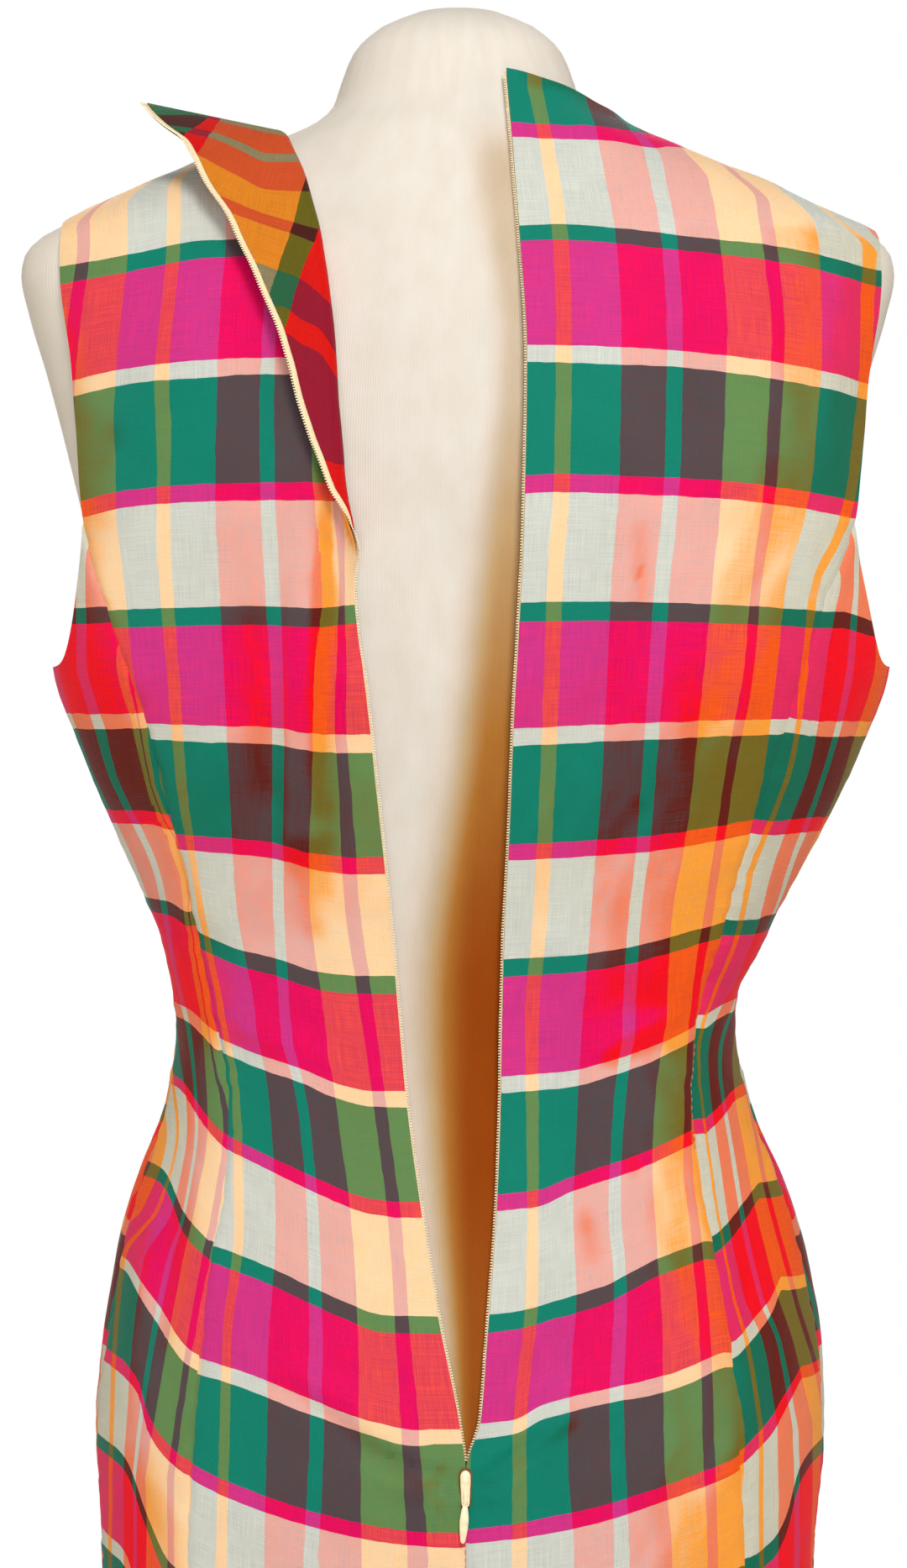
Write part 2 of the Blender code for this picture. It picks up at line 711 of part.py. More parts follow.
def facing_rows(strips):
    """The facing that shows on the turned-out corner, from just inside the tape."""
    rows = []
    for strip in strips:
        z = strip[0][0].z
        if strip_at("curl", z) < FACING_FROM_CURL:
            continue
        edge, normal = strip[-1 - HEM_COLUMNS]
        inside = strip[-2 - HEM_COLUMNS][0]
        edge = edge + (inside - edge).normalized() * SEAM
        rows.append([(edge, normal)] + list(reversed(strip[: -1 - HEM_COLUMNS])))
    return rows


def past_edge(edge, inner, z):
    """Where the zip tape ends beyond a cloth edge; it stops at the edge below the zip."""
    opened = min(1.0, max(TAPE_SHOWS_LEAST, (z - ZIP_END_Z) / TAPE_FULL_ABOVE))
    return edge + (edge - inner).normalized() * TAPE_SHOWS * opened


def left_tape_rows(strips):
    """The zip tape of the left edge, which runs a little past the cloth's edge."""
    rows = []
    for strip in strips:
        z = strip[0][0].z
        if z < TAPE_END_Z:
            continue
        edge, normal = strip[-1]
        band = list(reversed(strip[-1 - HEM_COLUMNS : -1]))
        rows.append([(past_edge(edge, strip[-2][0], z), normal)] + band)
    return rows


def right_tape_rows(panel):
    """The zip tape of the right edge, made from the panel's first two columns."""
    rows = []
    for row in panel:
        edge, normal = row[0]
        inner, inner_normal = row[1]
        z = edge.z
        if z < TAPE_END_Z:
            continue
        share = min(1.0, TAPE_INSIDE / (inner - edge).length)
        inside = edge.lerp(inner, share), normal.lerp(inner_normal, share).normalized()
        rows.append([(past_edge(edge, inner, z), normal), inside])
    return rows


def side_angle(z, sign):
    lean = math.radians(seam_at("side_angle", z))
    return lean if sign > 0 else math.pi - lean


def side_rows(column, sign, side):
    """A side panel from its princess seam to the side seam, under the armhole."""
    rows = []
    for z in lower_levels():
        over = max(0.0, (z - SIDE_BLEND_Z) / (ARMHOLE_Z - SIDE_BLEND_Z))
        z_side = z if over == 0.0 else SIDE_BLEND_Z + (UNDERARM_Z - SIDE_BLEND_Z) * over
        x = sign * seam_at(column, z)
        start = angle_at(x, z, side)
        end = side_angle(z_side, sign)
        if sign < 0 and side < 0:
            start += 2 * math.pi
        rows.append(side_row(z, z_side, start, end, over))
    return with_normals(rows)


def side_row(z, z_side, start, end, over):
    """One row; near the armhole its height follows the armhole's curve."""
    gap = half_gap(ring_point(cloth_radii, z, start))
    first, last = inset(start, end, gap, gap)
    row = []
    for k in range(SIDE_COLUMNS + 1):
        s = (k / SIDE_COLUMNS) ** (1.0 + ARMHOLE_CROWD * over)
        angle = first + (last - first) * s
        sweep = 1.0 - (1.0 - s) ** (1.0 + ARMHOLE_DROP * over)
        row.append(ring_point(cloth_radii, z + (z_side - z) * sweep, angle))
    return row


def front_rows():
    """The centre front, from the right princess seam to the left one."""
    rows = []
    for z in lower_levels():
        x = seam_at("front_princess", z)
        start = angle_at(-x, z, -1)
        end = angle_at(x, z, -1)
        rows.append(row_between(z, z, start, end, FRONT_COLUMNS))
    half = FRONT_COLUMNS // 2
    neck = half // 2
    bottom = [(p.x, p.z) for p in rows[-1]]
    right = shoulder_line(-1, half - neck)
    left = shoulder_line(1, half - neck)
    neck_x = right[0][0]
    scoop = []
    for k in range(-neck + 1, neck):
        s = math.sin(0.5 * math.pi * k / neck)
        z = NECK_FRONT_Z + (NECK_POINT_Z - NECK_FRONT_Z) * s * s
        scoop.append((abs(neck_x) * s, z))
    top = list(reversed(right)) + scoop + left
    edges = [armhole_edge("front_princess", sign, bottom[0 if sign < 0 else -1]) for sign in (-1, 1)]
    for flat in coons(bottom, top, edges[0], edges[1], FRONT_COLUMNS, yoke_spacing())[1:]:
        rows.append([cloth_point(x, z, -1) for x, z in flat])
    for k in list(range(half - neck + 1)) + list(range(half + neck, FRONT_COLUMNS + 1)):
        rows[-1][k] = Vector((top[k][0], -0.5 * SEAM, top[k][1]))
    return with_normals(rows)


def build_dress():
    right = folded(right_back_rows())
    wall("centre_back_right", right, CLOTH, "plaid_cloth")
    main = folded(left_back_main_rows())
    strips = left_strip_rows(main)
    wall("centre_back_left", left_back_rows(main, strips), CLOTH, "plaid_cloth")
    wall("neck_facing_left", facing_rows(strips), FACING, "facing_cloth", FACING_UNDER)
    wall("zip_tape_left", left_tape_rows(strips), TAPE, "zip_tape", LEFT_TAPE_UNDER)
    wall("zip_tape_right", right_tape_rows(right), TAPE, "zip_tape", RIGHT_TAPE_UNDER)
    wall("side_back_left", side_rows("princess_left", 1, 1), CLOTH, "plaid_cloth")
    wall("side_back_right", side_rows("princess_right", -1, 1), CLOTH, "plaid_cloth")
    wall("side_front_left", side_rows("front_princess", 1, -1), CLOTH, "plaid_cloth")
    wall("side_front_right", side_rows("front_princess", -1, -1), CLOTH, "plaid_cloth")
    wall("centre_front", front_rows(), CLOTH, "plaid_cloth")


def extruded(name, outline, holes, thick, finish, location):
    """A flat plate in X and Z from an outline, with holes, of a thickness along Y."""
    curve = bpy.data.curves.new(name, "CURVE")
    curve.dimensions = "2D"
    curve.fill_mode = "BOTH"
    curve.extrude = 0.5 * thick
    for loop in [outline] + holes:
        spline = curve.splines.new("POLY")
        spline.points.add(len(loop) - 1)
        for spot, (x, z) in zip(spline.points, loop):
            spot.co = (x, z, 0.0, 1.0)
        spline.use_cyclic_u = True
    shell = bpy.data.objects.new(name + "_curve", curve)
    mesh = bmesh.new()
    mesh.from_mesh(shell.to_mesh())
    shell.to_mesh_clear()
    bpy.data.objects.remove(shell)
    bmesh.ops.remove_doubles(mesh, verts=mesh.verts, dist=1e-6)
    for vert in mesh.verts:
        vert.co = Vector((vert.co.x, vert.co.z, vert.co.y))
    return finished(name, mesh, finish, location, math.radians(30))


def slider_seat():
    """The middle of the slider on the cloth, just below the open edges."""
    return cloth_point(CENTRE_SEAM_X, ZIP_END_Z - 0.5 * SLIDER_LENGTH + SLIDER_ABOVE_END, 1)


def pull_axis():
    """The hinge line of the pull tab, through the slider's bridge."""
    seat = slider_seat()
    out = SEAM + SLIDER_THICK + 0.5 * PULL_THICK + SEAM
    return Vector((seat.x, seat.y + out, seat.z - BRIDGE_BELOW_MIDDLE))


def half_round(radius, middle_z, start, sides):
    """Points (x, z) of half a circle about the zip's line, from an angle."""
    angles = even(start, start + math.pi, sides)
    return [(radius * math.cos(a), middle_z + radius * math.sin(a)) for a in angles]


def slider_plate(seat):
    """A long oval plate lying on the cloth, its outer edge bevelled."""
    half = 0.5 * SLIDER_LENGTH
    head, tail = 0.5 * SLIDER_WIDTH, 0.5 * SLIDER_TAIL_WIDTH
    outline = half_round(head, half - head, 0.0, SLIDER_END_SIDES)
    outline += half_round(tail, tail - half, math.pi, SLIDER_END_SIDES)
    back = seat.y + SEAM
    face = back + SLIDER_THICK
    mesh = bmesh.new()
    rims = []
    for y, scale in ((back, 1.0), (face - SLIDER_EDGE, 1.0), (face, SLIDER_TOP_SCALE)):
        rims.append([mesh.verts.new((seat.x + x * scale, y, seat.z + z * scale)) for x, z in outline])
    mesh.faces.new(rims[0])
    mesh.faces.new(rims[-1])
    bridge(mesh, rims)
    return finished("zip_slider", mesh, "enamelled_metal")


def slider_bridge(seat):
    """A staple along Z over the pull's crossbar, its feet just inside the plate."""
    axis = pull_axis()
    foot_y = seat.y + SLIDER_THICK
    outer_y = foot_y + SEAM + BRIDGE_RISE
    inner_y = outer_y - BRIDGE_BAR
    low, high = axis.z - 0.5 * BRIDGE_WINDOW, axis.z + 0.5 * BRIDGE_WINDOW
    side = [
        (foot_y, low - BRIDGE_LEG),
        (outer_y, low - BRIDGE_CROWN),
        (outer_y, high + BRIDGE_CROWN),
        (foot_y, high + BRIDGE_UPPER_LEG),
        (foot_y, high),
        (inner_y, high),
        (inner_y, low),
        (foot_y, low),
    ]
    mesh = bmesh.new()
    loops = []
    for x in (axis.x - 0.5 * BRIDGE_WIDTH, axis.x + 0.5 * BRIDGE_WIDTH):
        loops.append([mesh.verts.new((x, y, z)) for y, z in side])
    lower_leg, bar, upper_leg = (0, 7, 6, 1), (1, 6, 5, 2), (2, 5, 4, 3)
    for loop in loops:
        for quad in (lower_leg, bar, upper_leg):
            mesh.faces.new([loop[k] for k in quad])
    for k in range(len(side)):
        n = (k + 1) % len(side)
        mesh.faces.new((loops[0][k], loops[0][n], loops[1][n], loops[1][k]))
    return finished("slider_bridge", mesh, "enamelled_metal")


def build_slider():
    seat = slider_seat()
    plate = slider_plate(seat)
    arch = slider_bridge(seat)
    arch.hide_render = True
    arch.display_type = "WIRE"
    joined = plate.modifiers.new("bridge", "BOOLEAN")
    joined.operation = "UNION"
    joined.object = arch


def build_pull():
    """The pull tab: a crossbar through the bridge, two legs and a drop-shaped plate."""
    bar = 0.5 * PULL_THICK
    neck = 0.5 * PULL_NECK_WIDTH
    wide = 0.5 * PULL_WIDTH
    eye = 0.5 * PULL_EYE_WIDTH
    corner = even(0.0, 0.5 * math.pi, PULL_CORNER_SIDES)
    right_top = [(neck - bar * (1 - math.cos(a)), bar * math.sin(a)) for a in corner]
    right_side = [(half, -down) for down, half in PULL_SIDE_ROWS]
    outline = right_top + [(-x, z) for x, z in reversed(right_top)]
    outline += [(-x, z) for x, z in right_side]
    outline += half_round(wide, wide - PULL_LENGTH, math.pi, PULL_END_SIDES)
    outline += list(reversed(right_side))
    hole = [(-eye, -bar), (eye, -bar), (eye, -PULL_EYE_LENGTH), (-eye, -PULL_EYE_LENGTH)]
    extruded("zip_pull", outline, [hole], PULL_THICK, "enamelled_metal", pull_axis())


def main():
    clear_scene()
    build_stand()
    build_form()
    build_dress()
    build_slider()
    build_pull()


main()
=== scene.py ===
"""Looks of the sheath dress and its dress form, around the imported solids.

Metres, +Z up. The back of the dress faces +Y, towards the camera, and +X is on the
left of the picture. Places in the photo are pixels of its 1080 x 1867 frame.
"""
import math

import bpy
import numpy as np
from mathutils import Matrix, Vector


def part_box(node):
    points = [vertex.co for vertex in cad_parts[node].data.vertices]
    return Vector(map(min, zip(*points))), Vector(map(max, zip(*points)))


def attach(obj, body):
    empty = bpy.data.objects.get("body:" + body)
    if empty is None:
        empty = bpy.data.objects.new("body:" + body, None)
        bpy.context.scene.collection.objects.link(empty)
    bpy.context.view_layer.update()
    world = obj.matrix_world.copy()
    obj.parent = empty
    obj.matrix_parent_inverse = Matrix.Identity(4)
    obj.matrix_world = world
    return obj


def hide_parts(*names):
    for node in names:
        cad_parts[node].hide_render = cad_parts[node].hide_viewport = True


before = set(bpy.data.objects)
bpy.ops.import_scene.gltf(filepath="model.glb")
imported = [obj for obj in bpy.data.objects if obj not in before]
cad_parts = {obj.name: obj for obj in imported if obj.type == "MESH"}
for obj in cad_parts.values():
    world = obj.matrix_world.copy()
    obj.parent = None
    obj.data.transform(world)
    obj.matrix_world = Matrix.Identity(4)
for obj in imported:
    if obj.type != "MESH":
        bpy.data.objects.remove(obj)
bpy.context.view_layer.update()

# The photo's frame, its camera, and the lens in pixels.
PHOTO_WIDE = 1080
PHOTO_HIGH = 1867
FOCAL_PIXELS = 3672.0
HORIZON_Y = 830.0
PITCH = math.atan((PHOTO_HIGH / 2 - HORIZON_Y) / FOCAL_PIXELS)
CAMERA_AT = (0.00184, 1.35, 1.145)
SENSOR = 36.0
CLIP_START = 0.05

# Cloth. Shells lie with their outer face on the solids' outer face.
SHELL = 0.0006
TAPE_SHELL = 0.00016
SEAM = 0.0003
CLOTH = 0.0012
FACING_UNDER = CLOTH + 1.6 * SEAM
LEFT_TAPE_UNDER = CLOTH + SEAM
RIGHT_TAPE_UNDER = CLOTH + 2 * SEAM
# How far below each height the cloth takes the form's section, to clear its shoulders.
LIFT = 0.0012

# Garment, as in the solids.
HEM_Z = 0.450
ZIP_END_Z = 0.8325
ARMHOLE_Z = 1.218
UNDERARM_Z = 1.158
SIDE_BLEND_Z = 1.055
ARMHOLE_DROP = 6.0
ARMHOLE_CROWD = 0.6
ARMHOLE_SWING = 6
NECK_BACK_Z = 1.4080
NECK_BACK_CURVE = 0.55
NECK_POINT_Z = 1.3800
SHOULDER_TIP_Z = {1: 1.3520, -1: 1.3470}
NECK_FRONT_Z = 1.338
CENTRE_SEAM_X = -0.0030
ZIP_SEWN_BELOW = 0.004
ZIP_SEWN_FADE = 0.006
ARMHOLE_SEWN_ABOVE = 0.004
ARMHOLE_SEWN_FADE = 0.008

# Folded corner and zip tapes, as in the solids.
ROLL = 0.0030
ROLL_TURN = math.radians(172)
ROLL_SHARE = 0.9
ROLLED_FROM_CURL = 0.01
FACING_FROM_CURL = 0.30
TAPE_INSIDE = 0.0075
TAPE_SHOWS = 0.0004
TAPE_SHOWS_LEAST = 0.03
TAPE_ON_FLAP = 0.0036
TAPE_FULL_ABOVE = 0.030
TAPE_END_Z = 0.800

# Mesh density.
SKIRT_STEP = 0.005
BODICE_TOP_STEP = 0.003
SKIRT_TOP_Z = 0.765
YOKE_ROWS = 66
BACK_COLUMNS = 48
ROLL_COLUMNS = 14
FLAP_COLUMNS = 14
HEM_COLUMNS = 4
SIDE_COLUMNS = 28
FRONT_COLUMNS = 72
TAPE_COLUMNS = 4
FORM_SIDES = 240
FORM_LEVEL_STEP = 0.004

# The form, a row for each section: height, half width, depth behind and in front of
# the centre line, and the power of the superellipse.
FORM_COLUMNS = ("z", "half", "back", "front", "power")
FORM_ROWS = (
    (0.700, 0.1490, 0.1030, 0.1010, 2.30),
    (0.780, 0.1520, 0.1070, 0.1050, 2.30),
    (0.820, 0.1530, 0.1090, 0.1060, 2.30),
    (0.860, 0.1500, 0.1060, 0.1060, 2.30),
    (0.900, 0.1430, 0.0970, 0.1040, 2.30),
    (0.940, 0.1310, 0.0850, 0.1000, 2.28),
    (0.970, 0.1210, 0.0775, 0.0950, 2.26),
    (1.000, 0.1170, 0.0745, 0.0920, 2.25),
    (1.040, 0.1230, 0.0755, 0.0960, 2.25),
    (1.080, 0.1340, 0.0800, 0.1080, 2.28),
    (1.120, 0.1450, 0.0860, 0.1220, 2.30),
    (1.160, 0.1520, 0.0910, 0.1290, 2.30),
    (1.200, 0.1580, 0.0940, 0.1210, 2.30),
    (1.240, 0.1670, 0.0950, 0.1040, 2.30),
    (1.283, 0.1780, 0.0910, 0.0860, 2.30),
    (1.310, 0.1860, 0.0870, 0.0770, 2.30),
    (1.327, 0.1895, 0.0830, 0.0720, 2.30),
    (1.3355, 0.1880, 0.0800, 0.0690, 2.30),
    (1.3430, 0.1810, 0.0780, 0.0670, 2.30),
    (1.3485, 0.1705, 0.0760, 0.0655, 2.30),
    (1.3560, 0.1530, 0.0730, 0.0640, 2.28),
    (1.3660, 0.1280, 0.0690, 0.0620, 2.25),
    (1.3770, 0.0990, 0.0640, 0.0590, 2.20),
    (1.3860, 0.0750, 0.0600, 0.0560, 2.15),
    (1.3920, 0.0630, 0.0560, 0.0540, 2.10),
    (1.4000, 0.0545, 0.0520, 0.0520, 2.05),
    (1.4100, 0.0510, 0.0490, 0.0510, 2.00),
    (1.4235, 0.0455, 0.0440, 0.0460, 2.00),
    (1.4340, 0.0345, 0.0330, 0.0350, 2.00),
    (1.4405, 0.0200, 0.0190, 0.0200, 2.00),
)
FORM_TOP_Z = 1.4430
FORM_CAP_DROP = 0.0006
FORM_CAP_SHARE = 0.45
FORM_UV_RADIUS = 0.16

# How far the cloth's outer face stands off the form, a row for each height.
EASE_COLUMNS = ("z", "left", "right", "back", "front")
EASE_ROWS = (
    (0.450, 0.0040, 0.0040, 0.0060, 0.0060),
    (0.700, 0.0050, 0.0050, 0.0060, 0.0060),
    (0.770, 0.0042, 0.0042, 0.0058, 0.0050),
    (0.830, 0.0052, 0.0078, 0.0058, 0.0045),
    (0.880, 0.0060, 0.0100, 0.0065, 0.0045),
    (0.926, 0.0078, 0.0095, 0.0070, 0.0045),
    (0.962, 0.0062, 0.0070, 0.0075, 0.0042),
    (0.995, 0.0060, 0.0040, 0.0080, 0.0042),
    (1.015, 0.0058, 0.0035, 0.0085, 0.0045),
    (1.035, 0.0062, 0.0105, 0.0090, 0.0050),
    (1.055, 0.0092, 0.0150, 0.0095, 0.0055),
    (1.090, 0.0140, 0.0230, 0.0105, 0.0060),
    (1.120, 0.0185, 0.0300, 0.0110, 0.0060),
    (1.158, 0.0245, 0.0365, 0.0115, 0.0060),
    (1.218, 0.0160, 0.0240, 0.0110, 0.0060),
    (1.280, 0.0060, 0.0090, 0.0090, 0.0050),
    (1.330, 0.0024, 0.0024, 0.0060, 0.0060),
    (1.350, 0.0024, 0.0024, 0.0050, 0.0075),
    (1.383, 0.0080, 0.0080, 0.0062, 0.0100),
    (1.395, 0.0110, 0.0110, 0.0066, 0.0100),
    (1.410, 0.0120, 0.0120, 0.0066, 0.0100),
)

# Seams and edges, as distances from the centre line, a row for each height.
SEAM_COLUMNS = ("z", "open_right", "princess_left", "princess_right", "front_princess", "side_angle")
SEAM_ROWS = (
    (0.450, 0.0030, 0.1080, 0.1130, 0.0800, 5.0),
    (0.700, 0.0030, 0.1110, 0.1180, 0.0820, 7.0),
    (0.790, 0.0030, 0.1121, 0.1197, 0.0840, 9.0),
    (0.8320, 0.0030, 0.1105, 0.1165, 0.0850, 10.0),
    (0.8540, 0.0095, 0.1092, 0.1152, 0.0850, 10.5),
    (0.880, 0.0116, 0.1064, 0.1131, 0.0840, 12.0),
    (0.915, 0.0145, 0.1024, 0.1070, 0.0800, 12.0),
    (0.940, 0.0162, 0.0980, 0.1022, 0.0770, 10.0),
    (0.972, 0.0176, 0.0970, 0.0984, 0.0730, 6.0),
    (1.003, 0.0182, 0.1016, 0.1012, 0.0710, 3.0),
    (1.048, 0.0192, 0.1114, 0.1125, 0.0740, 1.5),
    (1.090, 0.0212, 0.1198, 0.1235, 0.0800, 1.0),
    (1.134, 0.0228, 0.1300, 0.1370, 0.0860, 0.5),
    (1.180, 0.0252, 0.1455, 0.1515, 0.1020, 0.0),
    (1.218, 0.0268, 0.1570, 0.1665, 0.1350, 0.0),
    (1.285, 0.0280, 0.1620, 0.1745, 0.1560, 0.0),
    (1.327, 0.0258, 0.1670, 0.1800, 0.1680, 0.0),
    (1.364, 0.0233, 0.1670, 0.1800, 0.1700, 0.0),
    (1.408, 0.0205, 0.1670, 0.1800, 0.1700, 0.0),
)

# The left centre-back strip, a row for each height: where the strip starts, how wide
# it is, how much of its roll is turned over, and how far its grain runs up the flap.
STRIP_COLUMNS = ("z", "start", "width", "curl", "skew")
STRIP_ROWS = (
    (0.450, 0.0090, 0.0120, 0.00, 0.00),
    (0.8320, 0.0090, 0.0120, 0.00, 0.00),
    (0.8500, 0.0112, 0.0120, 0.00, 0.00),
    (0.8951, 0.0204, 0.0120, 0.00, 0.00),
    (0.9365, 0.0274, 0.0120, 0.00, 0.00),
    (0.9790, 0.0334, 0.0120, 0.00, 0.00),
    (1.0311, 0.0379, 0.0120, 0.00, 0.00),
    (1.0832, 0.0429, 0.0120, 0.00, 0.00),
    (1.1430, 0.0491, 0.0120, 0.00, 0.00),
    (1.1682, 0.0521, 0.0120, 0.04, 0.00),
    (1.1934, 0.0536, 0.0120, 0.18, 0.00),
    (1.2180, 0.0514, 0.0124, 0.60, 0.00),
    (1.2400, 0.0512, 0.0150, 1.00, 0.00),
    (1.2600, 0.0527, 0.0190, 1.00, 0.02),
    (1.2908, 0.0547, 0.0260, 1.00, 0.10),
    (1.3288, 0.0600, 0.0390, 1.00, 0.32),
    (1.3550, 0.0670, 0.0490, 1.00, 0.66),
    (1.3700, 0.0730, 0.0570, 1.00, 1.05),
)

# The largest folds of the back, as in the solids: half width and rise.
FOLD_COLUMNS = ("x0", "z0", "x1", "z1", "width", "rise")
FOLD_ROWS = (
    (0.0600, 1.2300, 0.0640, 1.0900, 0.0110, 0.0045),
    (0.0130, 0.8330, 0.0700, 0.8720, 0.0070, 0.0028),
    (-0.0130, 0.8330, -0.0420, 0.8540, 0.0060, 0.0022),
    (0.0900, 1.0060, 0.0560, 0.9960, 0.0060, 0.0018),
    (-0.0880, 1.0100, -0.0600, 1.0000, 0.0060, 0.0018),
    (0.1000, 1.3100, 0.1350, 1.2600, 0.0120, 0.0020),
)
FOLD_FADE = 0.2

# Smaller creases, which fade towards their ends: a trough has a negative rise. Side is
# 1 behind and -1 in front.
CREASE_COLUMNS = ("side", "x0", "z0", "x1", "z1", "width", "rise")
CREASE_ROWS = (
    (1, 0.0500, 1.2250, 0.0545, 1.0850, 0.0060, -0.0026),
    (1, 0.0620, 1.2200, 0.0670, 1.0950, 0.0070, 0.0014),
    (1, 0.0510, 1.2110, 0.0490, 1.1800, 0.0030, -0.0018),
    (1, 0.0010, 0.8290, 0.0400, 0.8410, 0.0036, -0.0038),
    (1, 0.0030, 0.8200, 0.0380, 0.8310, 0.0042, 0.0020),
    (1, 0.0280, 0.8380, 0.0740, 0.8690, 0.0056, -0.0034),
    (1, 0.0300, 0.8500, 0.0700, 0.8800, 0.0070, 0.0012),
    (1, -0.0060, 0.8260, -0.0340, 0.8480, 0.0036, -0.0036),
    (1, -0.0080, 0.8180, -0.0340, 0.8370, 0.0040, 0.0014),
    (1, -0.0075, 0.8195, -0.0160, 0.8165, 0.0020, -0.0012),
    (1, -0.0180, 0.8660, -0.0530, 0.8900, 0.0090, -0.0034),
    (1, 0.1010, 0.9910, 0.0880, 0.9860, 0.0026, -0.0010),
    (1, 0.1000, 0.9820, 0.0850, 0.9780, 0.0022, -0.0008),
    (1, 0.0980, 0.9620, 0.0860, 0.9650, 0.0030, -0.0008),
    (1, -0.0980, 1.0080, -0.0820, 1.0020, 0.0026, -0.0011),
    (1, -0.0970, 0.9960, -0.0800, 0.9960, 0.0024, -0.0009),
    (1, -0.0960, 0.9800, -0.0820, 0.9850, 0.0030, -0.0008),
    (1, -0.0220, 1.0250, -0.0370, 1.0240, 0.0022, -0.0007),
    (1, -0.0230, 1.0140, -0.0330, 1.0150, 0.0018, -0.0005),
    (1, -0.1460, 1.2100, -0.1540, 1.1930, 0.0024, -0.0010),
    (1, -0.1490, 1.2000, -0.1580, 1.1800, 0.0022, -0.0009),
    (1, -0.1430, 1.1900, -0.1500, 1.1750, 0.0026, -0.0008),
    (1, -0.1080, 1.0720, -0.1280, 1.0700, 0.0030, -0.0010),
    (1, -0.1060, 1.0640, -0.1220, 1.0610, 0.0024, -0.0008),
    (1, 0.1250, 1.0450, 0.1100, 1.0420, 0.0028, -0.0009),
    (1, 0.1180, 0.9500, 0.1260, 0.8700, 0.0080, -0.0016),
    (1, 0.1300, 0.9300, 0.1400, 0.8500, 0.0070, 0.0010),
    (1, -0.0300, 1.1500, -0.0700, 1.1000, 0.0160, -0.0008),
    (1, -0.1000, 1.1600, -0.1150, 1.0900, 0.0120, -0.0010),
    (1, 0.0850, 1.1500, 0.0950, 1.0700, 0.0110, -0.0009),
    (1, 0.0900, 1.2800, 0.1300, 1.2300, 0.0090, -0.0012),
    (1, -0.0900, 1.3000, -0.1400, 1.2500, 0.0120, -0.0009),
    (1, 0.0200, 0.7600, 0.0350, 0.5200, 0.0220, 0.0016),
    (1, -0.0450, 0.7300, -0.0550, 0.5000, 0.0260, 0.0015),
    (1, 0.0800, 0.7900, 0.0900, 0.5600, 0.0200, -0.0014),
    (-1, -0.0900, 1.1080, -0.0500, 1.1150, 0.0060, 0.0010),
    (-1, 0.0900, 1.1060, 0.0540, 1.1120, 0.0050, 0.0009),
    (-1, -0.0700, 1.0150, -0.0380, 1.0080, 0.0040, -0.0012),
    (-1, -0.0680, 1.0020, -0.0300, 0.9990, 0.0034, -0.0010),
    (-1, 0.0700, 1.0120, 0.0360, 1.0060, 0.0042, -0.0012),
    (-1, 0.0680, 0.9980, 0.0400, 0.9960, 0.0030, -0.0009),
    (-1, -0.0900, 0.9050, -0.0200, 0.8900, 0.0080, 0.0014),
    (-1, 0.0880, 0.9000, 0.0260, 0.8870, 0.0070, 0.0012),
    (-1, -0.0300, 0.8300, -0.0420, 0.5200, 0.0240, 0.0022),
    (-1, 0.0320, 0.8200, 0.0460, 0.5000, 0.0220, 0.0020),
    (-1, 0.0020, 0.7600, 0.0060, 0.5400, 0.0160, -0.0014),
    (-1, -0.1150, 1.1900, -0.0800, 1.1500, 0.0060, -0.0012),
    (-1, 0.1160, 1.1880, 0.0820, 1.1520, 0.0056, -0.0011),
    (-1, -0.1120, 1.1760, -0.0860, 1.1380, 0.0040, -0.0009),
    (-1, 0.0300, 1.3200, 0.0900, 1.2600, 0.0140, -0.0012),
    (-1, -0.0320, 1.3180, -0.0920, 1.2580, 0.0130, -0.0011),
)
TAPER_ENDS = 0.02
TAPER_LEAST = 0.15
TAPER_POWER = 0.8
# The narrowest crease, by half width, that turns the cloth enough to change its painted shade.
BROAD_CREASE = 0.006

# Painted shade: the check turns warmer and darker where the cloth turns sideways or down.
# How much is read from the sideways and the upward part of its normal, then from their sum.
PAINTED_SHADE_SIDEWAYS = (
    (-0.70, 1.0), (-0.45, 0.55), (-0.35, 0.35), (-0.20, 0.05),
    (0.0, 0.0), (0.52, 0.0), (0.66, 0.4), (0.84, 0.9),
)
PAINTED_SHADE_UPWARD = (
    (-0.40, 0.9), (-0.16, 0.55), (-0.08, 0.4), (0.0, 0.22), (0.06, 0.04),
    (0.14, 0.04), (0.20, 0.12), (0.28, 0.28), (0.40, 0.28), (0.56, 0.0),
)
PAINTED_SHADE_RANGE = ((0.48, 0.0), (1.0, 1.0))
# Places at the back with more painted shade than that, or less where the share is negative:
# bands of painted shade beside folds, then small reddish marks. Ends, half width and share.
PAINTED_SHADE_AND_MARK_COLUMNS = ("x0", "z0", "x1", "z1", "width", "rise")
PAINTED_SHADE_AND_MARK_ROWS = (
    (0.0830, 1.1750, 0.0800, 1.1100, 0.0070, 0.60),
    (0.0540, 1.2350, 0.0535, 1.1000, 0.0042, 0.50),
    (0.0530, 1.1000, 0.0545, 1.0650, 0.0042, 0.40),
    (-0.0735, 1.2130, -0.0740, 1.1850, 0.0035, 0.45),
    (0.0870, 1.2100, 0.0860, 1.1850, 0.0080, 0.15),
    (0.0640, 1.0750, 0.0590, 1.0500, 0.0050, 0.50),
    (-0.0535, 0.9270, -0.0550, 0.9180, 0.0045, 0.50),
    (-0.0520, 0.9330, -0.0525, 0.9290, 0.0030, 0.40),
    (-0.0721, 0.9530, -0.0725, 0.9500, 0.0030, 0.60),
    (-0.0738, 1.1020, -0.0740, 1.1000, 0.0030, 0.50),
    (-0.0731, 1.1960, -0.0731, 1.1950, 0.0016, 0.90),
    (0.1400, 1.0820, 0.1280, 1.0500, 0.0200, -0.50),
)

